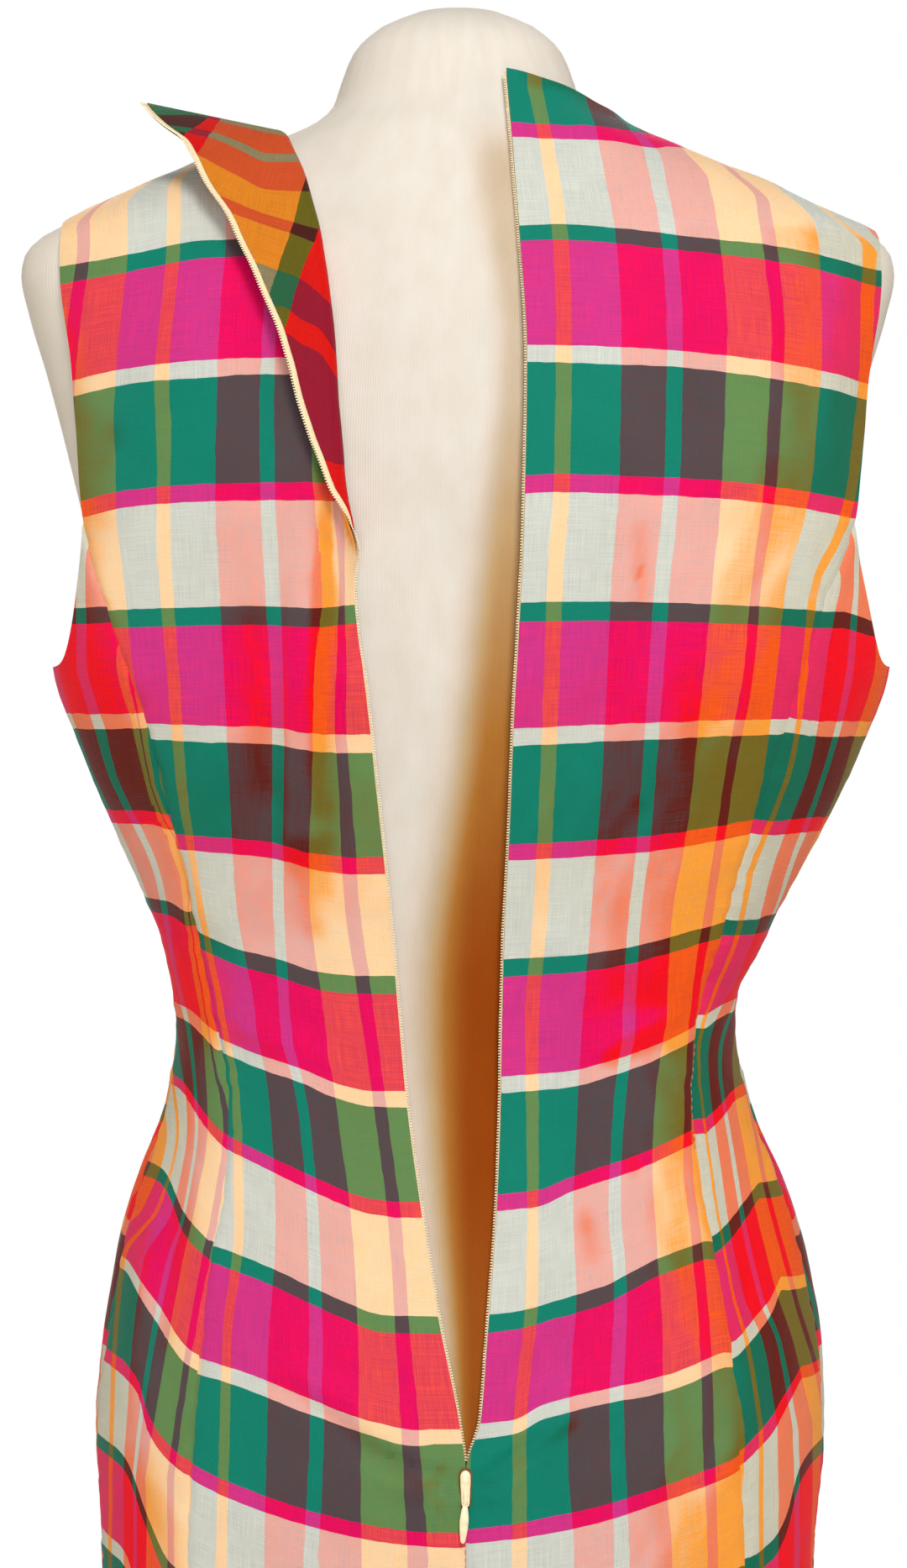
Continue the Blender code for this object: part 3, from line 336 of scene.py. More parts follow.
# A soft unevenness of the whole cloth, and how its edges dip into the seams.
WAVE_COLUMNS = ("length_across", "length_up", "turn", "height")
WAVE_ROWS = (
    (0.083, 0.190, 0.3, 0.00050),
    (0.047, 0.128, 1.9, 0.00030),
    (0.029, 0.061, 4.2, 0.00016),
    (0.017, 0.033, 5.5, 0.00008),
)
WAVE_BY_DEPTH = 0.5
WAVE_SIDE_TURN = 2.0
WAVE_BENDS = (1.3, 0.7, 0.6)
SEAM_DIP = 0.0011
SEAM_DIP_WIDTH = 0.0016
SEAM_PUFF = 0.0003
SEAM_PUFF_WIDTH = 0.0045
PUCKER_LENGTHS = (0.0137, 0.0231, 0.0089)
PUCKER_HEIGHT = 0.00022
PUCKER_WIDTH = 0.0060
PUCKER_TURNS = {"right": 0.7, "left": 2.1, "centre": 3.0, "front": 4.4}
HEM_TURN = 0.0400
HEM_GROOVE = 0.0007
HEM_GROOVE_WIDTH = 0.0014
HEM_GROOVE_VARIES = 0.3
HEM_GROOVE_STEP = 0.011
HEM_FADE = 0.02
HEM_LEAST = 0.3

# The check. Its colours, by the wide band of the weft and then of the warp, and the
# widths of wide bands and of narrow stripes, in units of UNIT.
UNIT = 0.00925
WIDE = 4.4
NARROW = 0.75
STRIPE = 0.65
WARP_REPEAT = 3 * WIDE
WEFT_PITCH = WIDE + NARROW
WEFT_REPEAT = 3 * WEFT_PITCH
CHECK_COLOURS = {
    "white": {"sky": (206, 211, 204), "magenta": (230, 178, 170), "yellow": (252, 218, 174)},
    "green": {"sky": (6, 129, 109), "magenta": (80, 72, 76), "yellow": (96, 140, 84)},
    "magenta": {"sky": (206, 50, 138), "magenta": (228, 0, 98), "yellow": (226, 66, 84)},
}
# The check's colours in painted shade, where the cloth turns away.
PAINTED_SHADE_COLOURS = {
    "white": {"sky": (204, 202, 184), "magenta": (238, 124, 86), "yellow": (248, 158, 54)},
    "green": {"sky": (14, 104, 80), "magenta": (96, 22, 8), "yellow": (114, 98, 26)},
    "magenta": {"sky": (224, 40, 92), "magenta": (244, 2, 24), "yellow": (242, 88, 16)},
}
# The facing's check in painted shade: the same cloth, darker and warmer.
FACING_PAINTED_SHADE_COLOURS = {
    "white": {"sky": (134, 122, 88), "magenta": (198, 76, 34), "yellow": (214, 126, 28)},
    "green": {"sky": (34, 92, 60), "magenta": (64, 18, 10), "yellow": (96, 88, 14)},
    "magenta": {"sky": (142, 14, 40), "magenta": (208, 10, 10), "yellow": (210, 12, 4)},
}
WARP_ORDER = (("sky", "yellow"), ("magenta", "sky"), ("yellow", "magenta"))
WEFT_ORDER = (("white", "green"), ("magenta", "white"), ("green", "magenta"))

# Where the lines of the check lie in the photo. A warp line, named by its place in the
# sett, is followed down the picture as (y, x); a weft line, named by its number, is
# followed across it as (x, y).
WARP_LINES = {
    "right": {
        2.2: (
            (100, 636), (180, 652), (300, 668), (400, 671), (560, 669), (700, 660), (900, 653),
            (1100, 642), (1220, 633), (1440, 634), (1540, 633), (1720, 618), (1840, 618),
        ),
        4.4: (
            (100, 698), (180, 713), (300, 734), (400, 739), (560, 737), (700, 727), (900, 718),
            (1100, 702), (1220, 692), (1340, 686), (1440, 682), (1540, 686), (1720, 675),
            (1840, 683),
        ),
        6.6: (
            (100, 766), (180, 777), (300, 798), (400, 803), (560, 800), (700, 788), (900, 774),
            (1000, 767), (1100, 756), (1220, 748), (1340, 736), (1440, 732), (1540, 739),
            (1660, 734), (1840, 739),
        ),
        8.8: (
            (100, 828), (180, 838), (300, 859), (400, 866), (560, 860), (700, 847), (900, 829),
            (1000, 816), (1100, 799), (1220, 792), (1300, 781), (1380, 776), (1480, 781),
            (1600, 789), (1720, 790), (1840, 800),
        ),
        11.0: (
            (100, 890), (220, 904), (300, 916), (400, 926), (560, 919), (700, 901), (800, 892),
            (900, 874), (1000, 857), (1100, 841), (1220, 824), (1300, 819), (1380, 818),
            (1480, 830), (1600, 840), (1840, 849),
        ),
        13.2: (
            (100, 944), (220, 957), (300, 976), (400, 979), (560, 968), (620, 958), (700, 936),
            (800, 925), (900, 912), (1000, 893), (1100, 875), (1220, 852), (1300, 848), (1440, 860),
            (1600, 882), (1840, 889),
        ),
    },
    "left": {
        0.0: (
            (300, 152), (480, 137), (600, 138), (700, 150), (800, 160), (860, 172), (926, 184),
            (968, 197), (1005, 213), (1052, 224), (1084, 227), (1131, 238), (1179, 248),
            (1226, 256), (1268, 258), (1330, 251), (1460, 244), (1600, 241), (1700, 232),
            (1850, 222),
        ),
        2.2: (
            (300, 206), (480, 194), (600, 193), (700, 196), (800, 204), (926, 213), (968, 218),
            (1005, 223), (1052, 230), (1084, 236), (1131, 246), (1200, 261), (1330, 281),
            (1460, 284), (1600, 268), (1850, 263),
        ),
        4.4: (
            (300, 268), (480, 256), (600, 255), (700, 260), (860, 268), (1060, 278), (1200, 303),
            (1330, 322), (1460, 328), (1600, 319), (1850, 314),
        ),
        6.6: (
            (300, 326), (480, 318), (600, 320), (700, 325), (860, 334), (1060, 332), (1200, 337),
            (1330, 362), (1460, 373), (1700, 377), (1850, 369),
        ),
        8.8: (
            (300, 380), (480, 368), (600, 378), (700, 386), (800, 376), (940, 373), (1060, 368),
            (1200, 384), (1330, 402), (1460, 418), (1600, 426), (1850, 430),
        ),
        11.0: (
            (300, 436), (480, 424), (600, 398), (700, 398), (800, 402), (860, 402), (940, 408),
            (1060, 415), (1200, 435), (1330, 453), (1460, 469), (1600, 478), (1700, 485),
            (1850, 493),
        ),
        12.3: (
            (300, 470), (480, 446), (600, 414), (700, 420), (800, 433), (940, 450), (1060, 460),
            (1200, 474), (1330, 490), (1460, 505), (1600, 520), (1700, 536), (1850, 555),
        ),
    },
    "right_side": {
        0.0: (
            (700, 950), (800, 935), (900, 920), (1040, 868), (1100, 858), (1260, 820), (1380, 832),
            (1540, 860), (1700, 886),
        ),
        4.4: (
            (700, 1001), (780, 985), (900, 968), (1040, 920), (1100, 903), (1260, 843), (1380, 856),
            (1540, 885), (1600, 910), (1700, 926),
        ),
        8.8: (
            (700, 1037), (780, 1042), (900, 1010), (1040, 957), (1100, 935), (1260, 871),
            (1380, 889), (1540, 925), (1600, 945), (1700, 968),
        ),
    },
    "left_side": {
        4.4: (
            (800, 62), (860, 72), (920, 105), (960, 128), (1040, 163), (1140, 190), (1240, 212),
            (1340, 222), (1440, 202), (1500, 172), (1600, 158), (1760, 147),
        ),
        6.6: (
            (800, 96), (860, 116), (920, 132), (1040, 186), (1140, 204), (1240, 226), (1340, 233),
            (1440, 218), (1500, 199), (1600, 180), (1760, 160),
        ),
        8.8: (
            (800, 140), (860, 157), (926, 171), (968, 187), (1005, 203), (1063, 217), (1100, 221),
            (1152, 230), (1205, 239), (1258, 243), (1340, 246), (1440, 230), (1500, 215),
            (1600, 198), (1760, 173),
        ),
        13.2: (
            (800, 166), (860, 173), (926, 183), (968, 197), (1005, 213), (1063, 225), (1100, 230),
            (1152, 242), (1205, 252), (1258, 263), (1340, 290), (1440, 282), (1500, 273),
            (1600, 254), (1760, 233),
        ),
    },
}
WEFT_LINES = {
    "right": {
        0: ((600, 162), (660, 165), (740, 170), (815, 183), (900, 192), (1040, 215)),
        1: ((600, 286), (660, 284), (740, 290), (880, 304), (960, 317), (1050, 341)),
        2: ((600, 430), (740, 433), (840, 439), (900, 447), (980, 461), (1040, 478)),
        3: ((600, 590), (660, 586), (760, 589), (860, 594), (940, 603), (1018, 618)),
        4: ((600, 740), (700, 738), (820, 740), (900, 743), (970, 747)),
        5: ((600, 889), (700, 884), (780, 880), (860, 877), (930, 874)),
        6: ((600, 1025), (680, 1021), (760, 1016), (840, 1004), (893, 993)),
        7: ((600, 1162), (680, 1157), (745, 1148), (800, 1133), (858, 1115)),
        8: ((597, 1301), (680, 1294), (720, 1283), (780, 1262), (835, 1233)),
        9: ((593, 1442), (640, 1437), (680, 1419), (760, 1392), (830, 1360)),
        10: ((560, 1588), (610, 1583), (660, 1570), (720, 1552), (780, 1520), (840, 1498)),
        11: ((560, 1714), (610, 1708), (650, 1687), (710, 1673), (800, 1655), (860, 1628)),
        12: ((560, 1838), (640, 1829), (700, 1817), (780, 1791), (860, 1762), (880, 1750)),
        13: ((560, 1977), (640, 1968), (700, 1956), (780, 1932), (860, 1904), (880, 1884)),
    },
    "left": {
        1: ((72, 337), (150, 323), (240, 308), (285, 305), (400, 300)),
        2: ((82, 473), (140, 459), (200, 453), (300, 445), (400, 446)),
        3: ((97, 617), (140, 606), (190, 600), (300, 596), (400, 597)),
        4: ((140, 747), (200, 745), (300, 743), (385, 745), (420, 740)),
        5: ((178, 880), (260, 884), (340, 886), (400, 896), (442, 891)),
        6: ((215, 1012), (275, 1018), (330, 1023), (380, 1036), (420, 1041), (456, 1035)),
        7: ((233, 1125), (280, 1148), (330, 1162), (380, 1178), (430, 1182), (470, 1180)),
        8: ((258, 1250), (310, 1272), (360, 1289), (400, 1307), (440, 1317), (486, 1319)),
        9: ((270, 1368), (320, 1393), (380, 1422), (440, 1445), (502, 1453)),
        10: ((255, 1503), (320, 1528), (400, 1565), (460, 1586), (520, 1587)),
        11: ((235, 1635), (300, 1656), (360, 1681), (440, 1708), (500, 1721), (540, 1714)),
        12: ((200, 1738), (240, 1768), (320, 1802), (400, 1826), (460, 1837), (530, 1843)),
        13: ((200, 1880), (240, 1905), (320, 1940), (400, 1965), (530, 1982)),
    },
    "right_side": {
        4: ((975, 747), (1000, 747), (1038, 757)),
        5: ((940, 872), (980, 877), (1035, 876)),
        6: ((900, 993), (930, 995), (975, 988)),
        7: ((865, 1113), (900, 1112), (915, 1105)),
        8: ((840, 1224), (860, 1208), (875, 1196)),
        9: ((840, 1350), (860, 1330), (880, 1303)),
        10: ((850, 1494), (870, 1475), (885, 1455), (905, 1425)),
        11: ((865, 1624), (880, 1612), (915, 1570), (930, 1535)),
        12: ((875, 1753), (900, 1728), (920, 1707), (940, 1670), (955, 1640)),
        13: ((880, 1882), (920, 1855), (935, 1825), (950, 1765), (977, 1718)),
    },
    "left_side": {
        4: ((100, 742), (140, 740)),
        5: ((85, 865), (110, 868), (170, 867)),
        6: ((130, 980), (180, 982), (205, 990)),
        7: ((175, 1085), (195, 1087), (222, 1102)),
        8: ((203, 1195), (240, 1232), (257, 1250)),
        9: ((208, 1283), (243, 1340), (268, 1368)),
        10: ((182, 1400), (195, 1413), (215, 1465), (250, 1500)),
        11: ((148, 1505), (180, 1567), (215, 1617), (240, 1637)),
        12: ((130, 1622), (165, 1660), (175, 1700), (200, 1738), (240, 1768)),
        13: ((113, 1715), (150, 1752), (172, 1815), (200, 1878), (240, 1905)),
    },
}

# The folded corner's facing, cut crosswise: its warp lines run across the picture as
# (x, y), and its weft lines, by their place in the sett, down it as (y, x).
FACING_WARP = {
    4.4: ((235, 138), (280, 150), (345, 163), (400, 166)),
    6.6: ((200, 152), (250, 160), (285, 173), (320, 188), (400, 186)),
    8.8: ((200, 170), (235, 185), (278, 207), (320, 227), (400, 229)),
    11.0: ((200, 215), (265, 240), (305, 256), (350, 271), (400, 288)),
    13.2: ((300, 312), (330, 322), (357, 333), (380, 350), (400, 372)),
    15.4: ((340, 372), (360, 388), (380, 398), (400, 433)),
    17.6: ((360, 540), (400, 552)),
}
FACING_WEFT = {
    14.7: ((120, 258), (143, 245), (160, 220), (200, 190)),
    15.45: ((120, 276), (142, 263), (185, 235), (230, 205)),
    19.85: ((150, 376), (230, 358), (270, 348), (320, 330), (400, 305)),
    20.6: ((150, 398), (262, 380), (325, 358), (400, 335)),
}

# Where the sett ends at the left centre-back edge.
EDGE_SETT_U = 12.3

# The front's check: the place in the sett at the centre front, and at one height.
FRONT_SETT_U = 6.6
FRONT_SETT_V = 36.05
FRONT_SETT_Z = 0.961

# How squarely the cloth has to face the camera before the chart holds there.
SEEN_FROM = 0.22
SEEN_RANGE = 0.25

# Below the photo the side backs' weft lines run level again: a height where the sett is
# known, and the heights between which they straighten.
LEVEL_Z = 0.822
LEVEL_V = 61.8
LEVEL_FROM_Z = 0.800
LEVEL_TO_Z = 0.600


def smooth(xs, ys, at):
    """A smooth curve through points, flat past its ends."""
    xs, ys = np.asarray(xs, float), np.asarray(ys, float)
    at = np.clip(at, xs[0], xs[-1])
    steps = np.diff(xs)
    slopes = np.diff(ys) / steps
    before, after = slopes[:-1], slopes[1:]
    rising = before * after > 0
    inner = np.where(rising, 2 * before * after / np.where(rising, before + after, 1.0), 0.0)
    i = np.clip(np.searchsorted(xs, at, side="right") - 1, 0, len(steps) - 1)
    start = np.concatenate((slopes[:1], inner))[i] * steps[i]
    end = np.concatenate((inner, slopes[-1:]))[i] * steps[i]
    t = (at - xs[i]) / steps[i]
    return (
        (2 * t**3 - 3 * t**2 + 1) * ys[i]
        + (t**3 - 2 * t**2 + t) * start
        + (3 * t**2 - 2 * t**3) * ys[i + 1]
        + (t**3 - t**2) * end
    )


def column(columns, rows, name, z):
    """A column of a table of heights, read smoothly at heights z."""
    at = columns.index(name)
    return smooth([row[0] for row in rows], [row[at] for row in rows], z)


def table(rows, at):
    """A broken line through rows of a place and a value."""
    return np.interp(at, [row[0] for row in rows], [row[1] for row in rows])


def running(first, steps):
    """A first column and the running sum of the steps from it, along rows."""
    return np.concatenate((first, first + np.cumsum(steps, axis=1)), axis=1)


def path_lengths(path):
    """Lengths along a path up to each of its points."""
    return np.concatenate(([0.0], np.cumsum(np.linalg.norm(np.diff(path, axis=0), axis=-1))))


def at_spots(spots, along, line):
    """Points of a line at the given lengths along it."""
    return np.stack([np.interp(spots, along, line[:, k]) for k in range(3)], axis=-1)


def eased(share):
    """A share from 0 to 1 that starts and ends gently."""
    t = np.clip(share, 0.0, 1.0)
    return t * t * (3.0 - 2.0 * t)


def form_at(name, z):
    return column(FORM_COLUMNS, FORM_ROWS, name, z)


def seam_at(name, z):
    return column(SEAM_COLUMNS, SEAM_ROWS, name, z)


def strip_at(name, z):
    return column(STRIP_COLUMNS, STRIP_ROWS, name, z)


def form_radii(z):
    half = form_at("half", z)
    return half, half, form_at("back", z), form_at("front", z), form_at("power", z)


def cloth_radii(z):
    """Left, right, back and front reach of the cloth's outer face, and its power."""
    half, _, back, front, power = form_radii(z - LIFT)
    ease = [column(EASE_COLUMNS, EASE_ROWS, side, z) for side in EASE_COLUMNS[1:]]
    return half + ease[0], half + ease[1], back + ease[2], front + ease[3], power


def section_point(radii, z, angle):
    """Points of a section at angles from +X, anticlockwise from above."""
    left, right, back, front, power = radii
    c, s = np.cos(angle), np.sin(angle)
    wide = np.where(c >= 0, left, right)
    deep = np.where(s >= 0, back, front)
    radius = (np.abs(c / wide) ** power + np.abs(s / deep) ** power) ** (-1.0 / power)
    return np.stack((radius * c, radius * s, z + 0.0 * angle), axis=-1)


def ring_point(z, angle):
    z = z + 0.0 * angle
    return section_point(cloth_radii(z), z, angle)


def cloth_point(x, z, side):
    """Points of the cloth at x and z, behind (+1) or in front (-1)."""
    left, right, back, front, power = cloth_radii(z)
    wide = np.where(x >= 0, left, right)
    deep = back if side > 0 else -front
    share = np.maximum(0.0, 1.0 - np.minimum(1.0, np.abs(x) / wide) ** power)
    return np.stack((x, deep * share ** (1.0 / power), z), axis=-1)


def angle_at(x, z, side):
    point = cloth_point(x, z, side)
    return np.arctan2(point[..., 1], point[..., 0])


def unit(vectors):
    return vectors / np.maximum(np.linalg.norm(vectors, axis=-1, keepdims=True), 1e-12)


def normals_of(points):
    """Normals of a grid of points, from its neighbours along rows and columns."""
    along = np.gradient(points, axis=1)
    up = np.gradient(points, axis=0)
    normals = unit(np.cross(along, up))
    outward = np.sum(normals[..., :2] * points[..., :2], axis=-1).mean()
    return normals if outward > 0 else -normals


def line_rise(x, z, rows, columns, tapered):
    """Rise at places from lines of folds given as rows of ends, half width and rise."""
    total = np.zeros_like(x)
    for row in rows:
        fold = dict(zip(columns, row))
        run_x, run_z = fold["x1"] - fold["x0"], fold["z1"] - fold["z0"]
        reach_x, reach_z = x - fold["x0"], z - fold["z0"]
        t = np.clip((reach_x * run_x + reach_z * run_z) / (run_x**2 + run_z**2), 0.0, 1.0)
        away = np.hypot(reach_x - run_x * t, reach_z - run_z * t) / fold["width"]
        height = fold["rise"] * np.exp(-away * away)
        if tapered:
            taper = np.sin(np.pi * np.clip(t, TAPER_ENDS, 1.0 - TAPER_ENDS)) ** TAPER_POWER
            height = height * (TAPER_LEAST + (1.0 - TAPER_LEAST) * taper)
        total += height
    return total


def levels_below_armhole():
    """Heights of the rows from the hem to the armholes, shared by every panel."""
    skirt = np.arange(HEM_Z, SKIRT_TOP_Z - 1e-9, SKIRT_STEP)
    count = round((ARMHOLE_Z - SKIRT_TOP_Z) / BODICE_TOP_STEP)
    return np.concatenate((skirt, np.linspace(SKIRT_TOP_Z, ARMHOLE_Z, count + 1)))


def yoke_shares():
    """Shares of the height from the armhole to the shoulder, closest at the top."""
    return np.sin(0.5 * np.pi * np.arange(YOKE_ROWS + 1) / YOKE_ROWS)


def even_rows(start, end, count):
    """Rows from arrays of starts to ends."""
    return start[:, None] + (end - start)[:, None] * np.linspace(0.0, 1.0, count + 1)[None, :]


def coons(bottom, top, left, right, shares):
    """A patch between four edges given as (x, z); left and right follow the shares."""
    s = np.linspace(0.0, 1.0, len(bottom))[None, :, None]
    t = shares[:, None, None]
    return (
        (1 - t) * bottom[None] + t * top[None] + (1 - s) * left[:, None] + s * right[:, None]
        - (1 - s) * (1 - t) * bottom[0] - s * (1 - t) * bottom[-1]
        - (1 - s) * t * top[0] - s * t * top[-1]
    )


def shoulder_line(sign, count):
    """Points (x, z) along the shoulder seam from the neck to the tip."""
    z = np.linspace(NECK_POINT_Z, SHOULDER_TIP_Z[sign], count + 1)
    wide = cloth_radii(z)[0 if sign > 0 else 1]
    return np.stack((sign * wide, z), axis=-1)


def armhole_edge(name, sign, foot, shares):
    """The armhole's edge from its foot to the shoulder tip."""
    tip = shoulder_line(sign, 1)[-1]
    z = foot[1] + (tip[1] - foot[1]) * shares
    blend = shares**ARMHOLE_SWING
    x = sign * seam_at(name, z) * (1 - blend) + tip[0] * blend
    edge = np.stack((x, z), axis=-1)
    edge[0] = foot
    return edge


def yoke(bottom_row, neckline, inner_edge, name, sign, side):
    """The panel above the armhole's foot, from its inner edge to the armhole."""
    columns = len(bottom_row) - 1
    shares = yoke_shares()
    bottom = bottom_row[:, [0, 2]]
    neck_columns = columns // 2
    neck = np.array([neckline(k / neck_columns) for k in range(neck_columns)])
    top = np.concatenate((neck, shoulder_line(sign, columns - neck_columns)))
    inner = np.array([inner_edge(t) for t in shares])
    outer = armhole_edge(name, sign, bottom[-1], shares)
    grid = coons(bottom, top, inner, outer, shares)[1:]
    points = cloth_point(grid[..., 0], grid[..., 1], side)
    points[-1, neck_columns:, 1] = 0.0
    return points


def right_back_points():
    z = levels_below_armhole()
    start = angle_at(-seam_at("open_right", z), z, 1)
    end = angle_at(-seam_at("princess_right", z), z, 1)
    lower = ring_point(z[:, None], even_rows(start, end, BACK_COLUMNS))
    neck_x = cloth_radii(NECK_POINT_Z)[1]
    edge_x = seam_at("open_right", NECK_BACK_Z)

    def neckline(s):
        dip = s * (1.0 - NECK_BACK_CURVE) + NECK_BACK_CURVE * s * s
        return -(edge_x + (neck_x - edge_x) * s), NECK_BACK_Z + (NECK_POINT_Z - NECK_BACK_Z) * dip

    def edge(t):
        height = ARMHOLE_Z + (NECK_BACK_Z - ARMHOLE_Z) * t
        return -seam_at("open_right", height), height

    return np.concatenate((lower, yoke(lower[-1], neckline, edge, "princess_right", -1, 1)))


def left_back_points():
    """The left centre back from its strip to the princess seam and armhole."""
    z = levels_below_armhole()
    start = angle_at(strip_at("start", z), z, 1)
    end = angle_at(seam_at("princess_left", z), z, 1)
    lower = ring_point(z[:, None], even_rows(start, end, BACK_COLUMNS))
    top_z, top_x = STRIP_ROWS[-1][0], STRIP_ROWS[-1][1]
    neck_x = cloth_radii(NECK_POINT_Z)[0]

    def neckline(s):
        return top_x + (neck_x - top_x) * s, top_z + (NECK_POINT_Z - top_z) * s

    def edge(t):
        height = ARMHOLE_Z + (top_z - ARMHOLE_Z) * t
        return strip_at("start", height), height

    return np.concatenate((lower, yoke(lower[-1], neckline, edge, "princess_left", 1, 1)))


def strip_distances(width, curl):
    """Distances along a strip: through its roll, across its flap, then over its hem."""
    body = width - TAPE_ON_FLAP
    rolled = body * ROLL_COLUMNS / (ROLL_COLUMNS + FLAP_COLUMNS)
    if curl > 0.0:
        rolled += (min(ROLL_TURN * ROLL, ROLL_SHARE * body) - rolled) * curl
    return np.concatenate((
        np.linspace(0.0, rolled, ROLL_COLUMNS + 1),
        np.linspace(rolled, body, FLAP_COLUMNS + 1)[1:],
        np.linspace(body, width, HEM_COLUMNS + 1)[1:],
    ))


def left_strip(main, main_normals):
    """Points, normals and distances of the strip from its start to the centre-back edge."""
    starts, normals = main[:, 0], main_normals[:, 0]
    along = np.gradient(starts, axis=0)
    along = unit(along - normals * np.sum(along * normals, axis=-1, keepdims=True))
    across = unit(np.cross(along, normals))
    across[across[:, 0] > 0] *= -1
    points, turned, places = [], [], []
    for start, normal, up, out in zip(starts, normals, along, across):
        z = start[2]
        width, curl, skew = [float(strip_at(name, z)) for name in ("width", "curl", "skew")]
        d = strip_distances(width, curl)
        if curl <= ROLLED_FROM_CURL:
            edge_x = CENTRE_SEAM_X if z <= ZIP_END_Z else start[0] - width
            d = d * (start[0] - edge_x) / width
            x = start[0] - d
            level = cloth_point(x, np.full_like(x, z), 1)
            rise = cloth_rise(level, 1, 1.0 - d / d[-1])
            points.append(level + normal * rise[:, None])
            turned.append(None)
        else:
            bend = curl / ROLL
            turn = np.minimum(d * bend, ROLL_TURN)[:, None]
            rest = d[:, None] - turn / bend
            reach = np.sin(turn) / bend + rest * np.cos(turn)
            height = (1.0 - np.cos(turn)) / bend + rest * np.sin(turn)
            rise = d[:, None] * np.sin(skew)
            points.append(start + out * reach + normal * height + up * rise)
            turned.append(unit(normal * np.cos(turn) - out * np.sin(turn)))
        places.append(d)
    points = np.array(points)
    flat = normals_of(points)
    turned = np.array([flat[j] if row is None else row for j, row in enumerate(turned)])
    return points, turned, np.array(places)


def side_points(name, sign, side):
    """A side panel from its princess seam to the side seam, under the armhole."""
    z = levels_below_armhole()
    over = np.maximum(0.0, (z - SIDE_BLEND_Z) / (ARMHOLE_Z - SIDE_BLEND_Z))
    z_side = np.where(over == 0.0, z, SIDE_BLEND_Z + (UNDERARM_Z - SIDE_BLEND_Z) * over)
    start = angle_at(sign * seam_at(name, z), z, side)
    lean = np.radians(seam_at("side_angle", z_side))
    end = lean if sign > 0 else np.pi - lean
    if sign < 0 and side < 0:
        start = start + 2 * np.pi
    k = np.linspace(0.0, 1.0, SIDE_COLUMNS + 1)[None, :]
    s = k ** (1.0 + ARMHOLE_CROWD * over[:, None])
    angle = start[:, None] + (end - start)[:, None] * s
    sweep = 1.0 - (1.0 - s) ** (1.0 + ARMHOLE_DROP * over[:, None])
    return ring_point(z[:, None] + (z_side - z)[:, None] * sweep, angle)


def front_points():
    """The centre front, from the right princess seam to the left one."""
    z = levels_below_armhole()
    x = seam_at("front_princess", z)
    angles = even_rows(angle_at(-x, z, -1), angle_at(x, z, -1), FRONT_COLUMNS)
    lower = ring_point(z[:, None], angles)
    shares = yoke_shares()
    half = FRONT_COLUMNS // 2
    neck = half // 2
    bottom = lower[-1][:, [0, 2]]
    right, left = shoulder_line(-1, half - neck), shoulder_line(1, half - neck)
    s = np.sin(0.5 * np.pi * np.arange(-neck + 1, neck) / neck)
    depth = NECK_FRONT_Z + (NECK_POINT_Z - NECK_FRONT_Z) * s * s
    scoop = np.stack((abs(right[0][0]) * s, depth), axis=-1)
    top = np.concatenate((right[::-1], scoop, left))
    ends = ((-1, 0), (1, -1))
    outer = [armhole_edge("front_princess", sign, bottom[end], shares) for sign, end in ends]
    grid = coons(bottom, top, *outer, shares)[1:]
    points = cloth_point(grid[..., 0], grid[..., 1], -1)
    points[-1, : half - neck + 1, 1] = 0.0
    points[-1, half + neck :, 1] = 0.0
    return np.concatenate((lower, points))


def photo_place(points):
    """Pixels of points in the photo."""
    forward = np.array((0.0, -math.cos(PITCH), -math.sin(PITCH)))
    up = np.array((0.0, -math.sin(PITCH), math.cos(PITCH)))
    reach = points - np.array(CAMERA_AT)
    depth = reach @ forward
    x = PHOTO_WIDE / 2 - FOCAL_PIXELS * reach[..., 0] / depth
    y = PHOTO_HIGH / 2 - FOCAL_PIXELS * (reach @ up) / depth
    return x, y


def sett_place(lines, across, along, scale=1.0):
    """Place in the sett from a chart's lines, which cross the direction 'across'."""
    values = sorted(lines)
    crossings = [smooth(*zip(*lines[v]), along) for v in values]
    place = np.zeros_like(across)
    place += values[0] * scale
    last = len(values) - 2
    for k in range(last + 1):
        share = (across - crossings[k]) / (crossings[k + 1] - crossings[k])
        low = -np.inf if k == 0 else 0.0
        high = np.inf if k == last else 1.0
        place += (values[k + 1] - values[k]) * scale * np.clip(share, low, high)
    return place


def arc_steps(points):
    """Lengths of the steps along a grid's rows."""
    return np.linalg.norm(np.diff(points, axis=1), axis=-1)


def seen_steps(points, normals):
    """How much of each step along rows the photo shows: 0 where it turns away, to 1."""
    view = unit(np.array(CAMERA_AT) - points)
    seen = np.clip((np.sum(view * normals, axis=-1) - SEEN_FROM) / SEEN_RANGE, 0.0, 1.0)
    return np.minimum(seen[:, 1:], seen[:, :-1])


def charted(points, normals, chart, outward):
    """Sett places along rows: the chart's where the photo shows the cloth, and real
    distances where it turns away."""
    x, y = photo_place(points)
    seen = seen_steps(points, normals)
    u = sett_place(WARP_LINES[chart], x, y)
    level = np.linalg.norm(np.diff(points[..., :2], axis=1), axis=-1) / UNIT
    u = running(u[:, :1], seen * np.diff(u, axis=1) + (1.0 - seen) * outward * level)
    v = sett_place(WEFT_LINES[chart], y, x, WEFT_PITCH)
    rise = np.diff(points[..., 2], axis=1) / UNIT
    v = running(v[:, :1], seen * np.diff(v, axis=1) - (1.0 - seen) * rise)
    if "side" in chart:
        level = LEVEL_V + (LEVEL_Z - points[..., 2]) / UNIT
        v += (level - v) * eased((LEVEL_FROM_Z - points[..., 2]) / (LEVEL_FROM_Z - LEVEL_TO_Z))
    return u, v


def front_sett(points, sign):
    """The front's sett: real distances from the centre front and down the cloth."""
    from_first = running(np.zeros((len(points), 1)), arc_steps(points) / UNIT)
    v = FRONT_SETT_V + (FRONT_SETT_Z - points[..., 2]) / UNIT
    return sign * from_first, v


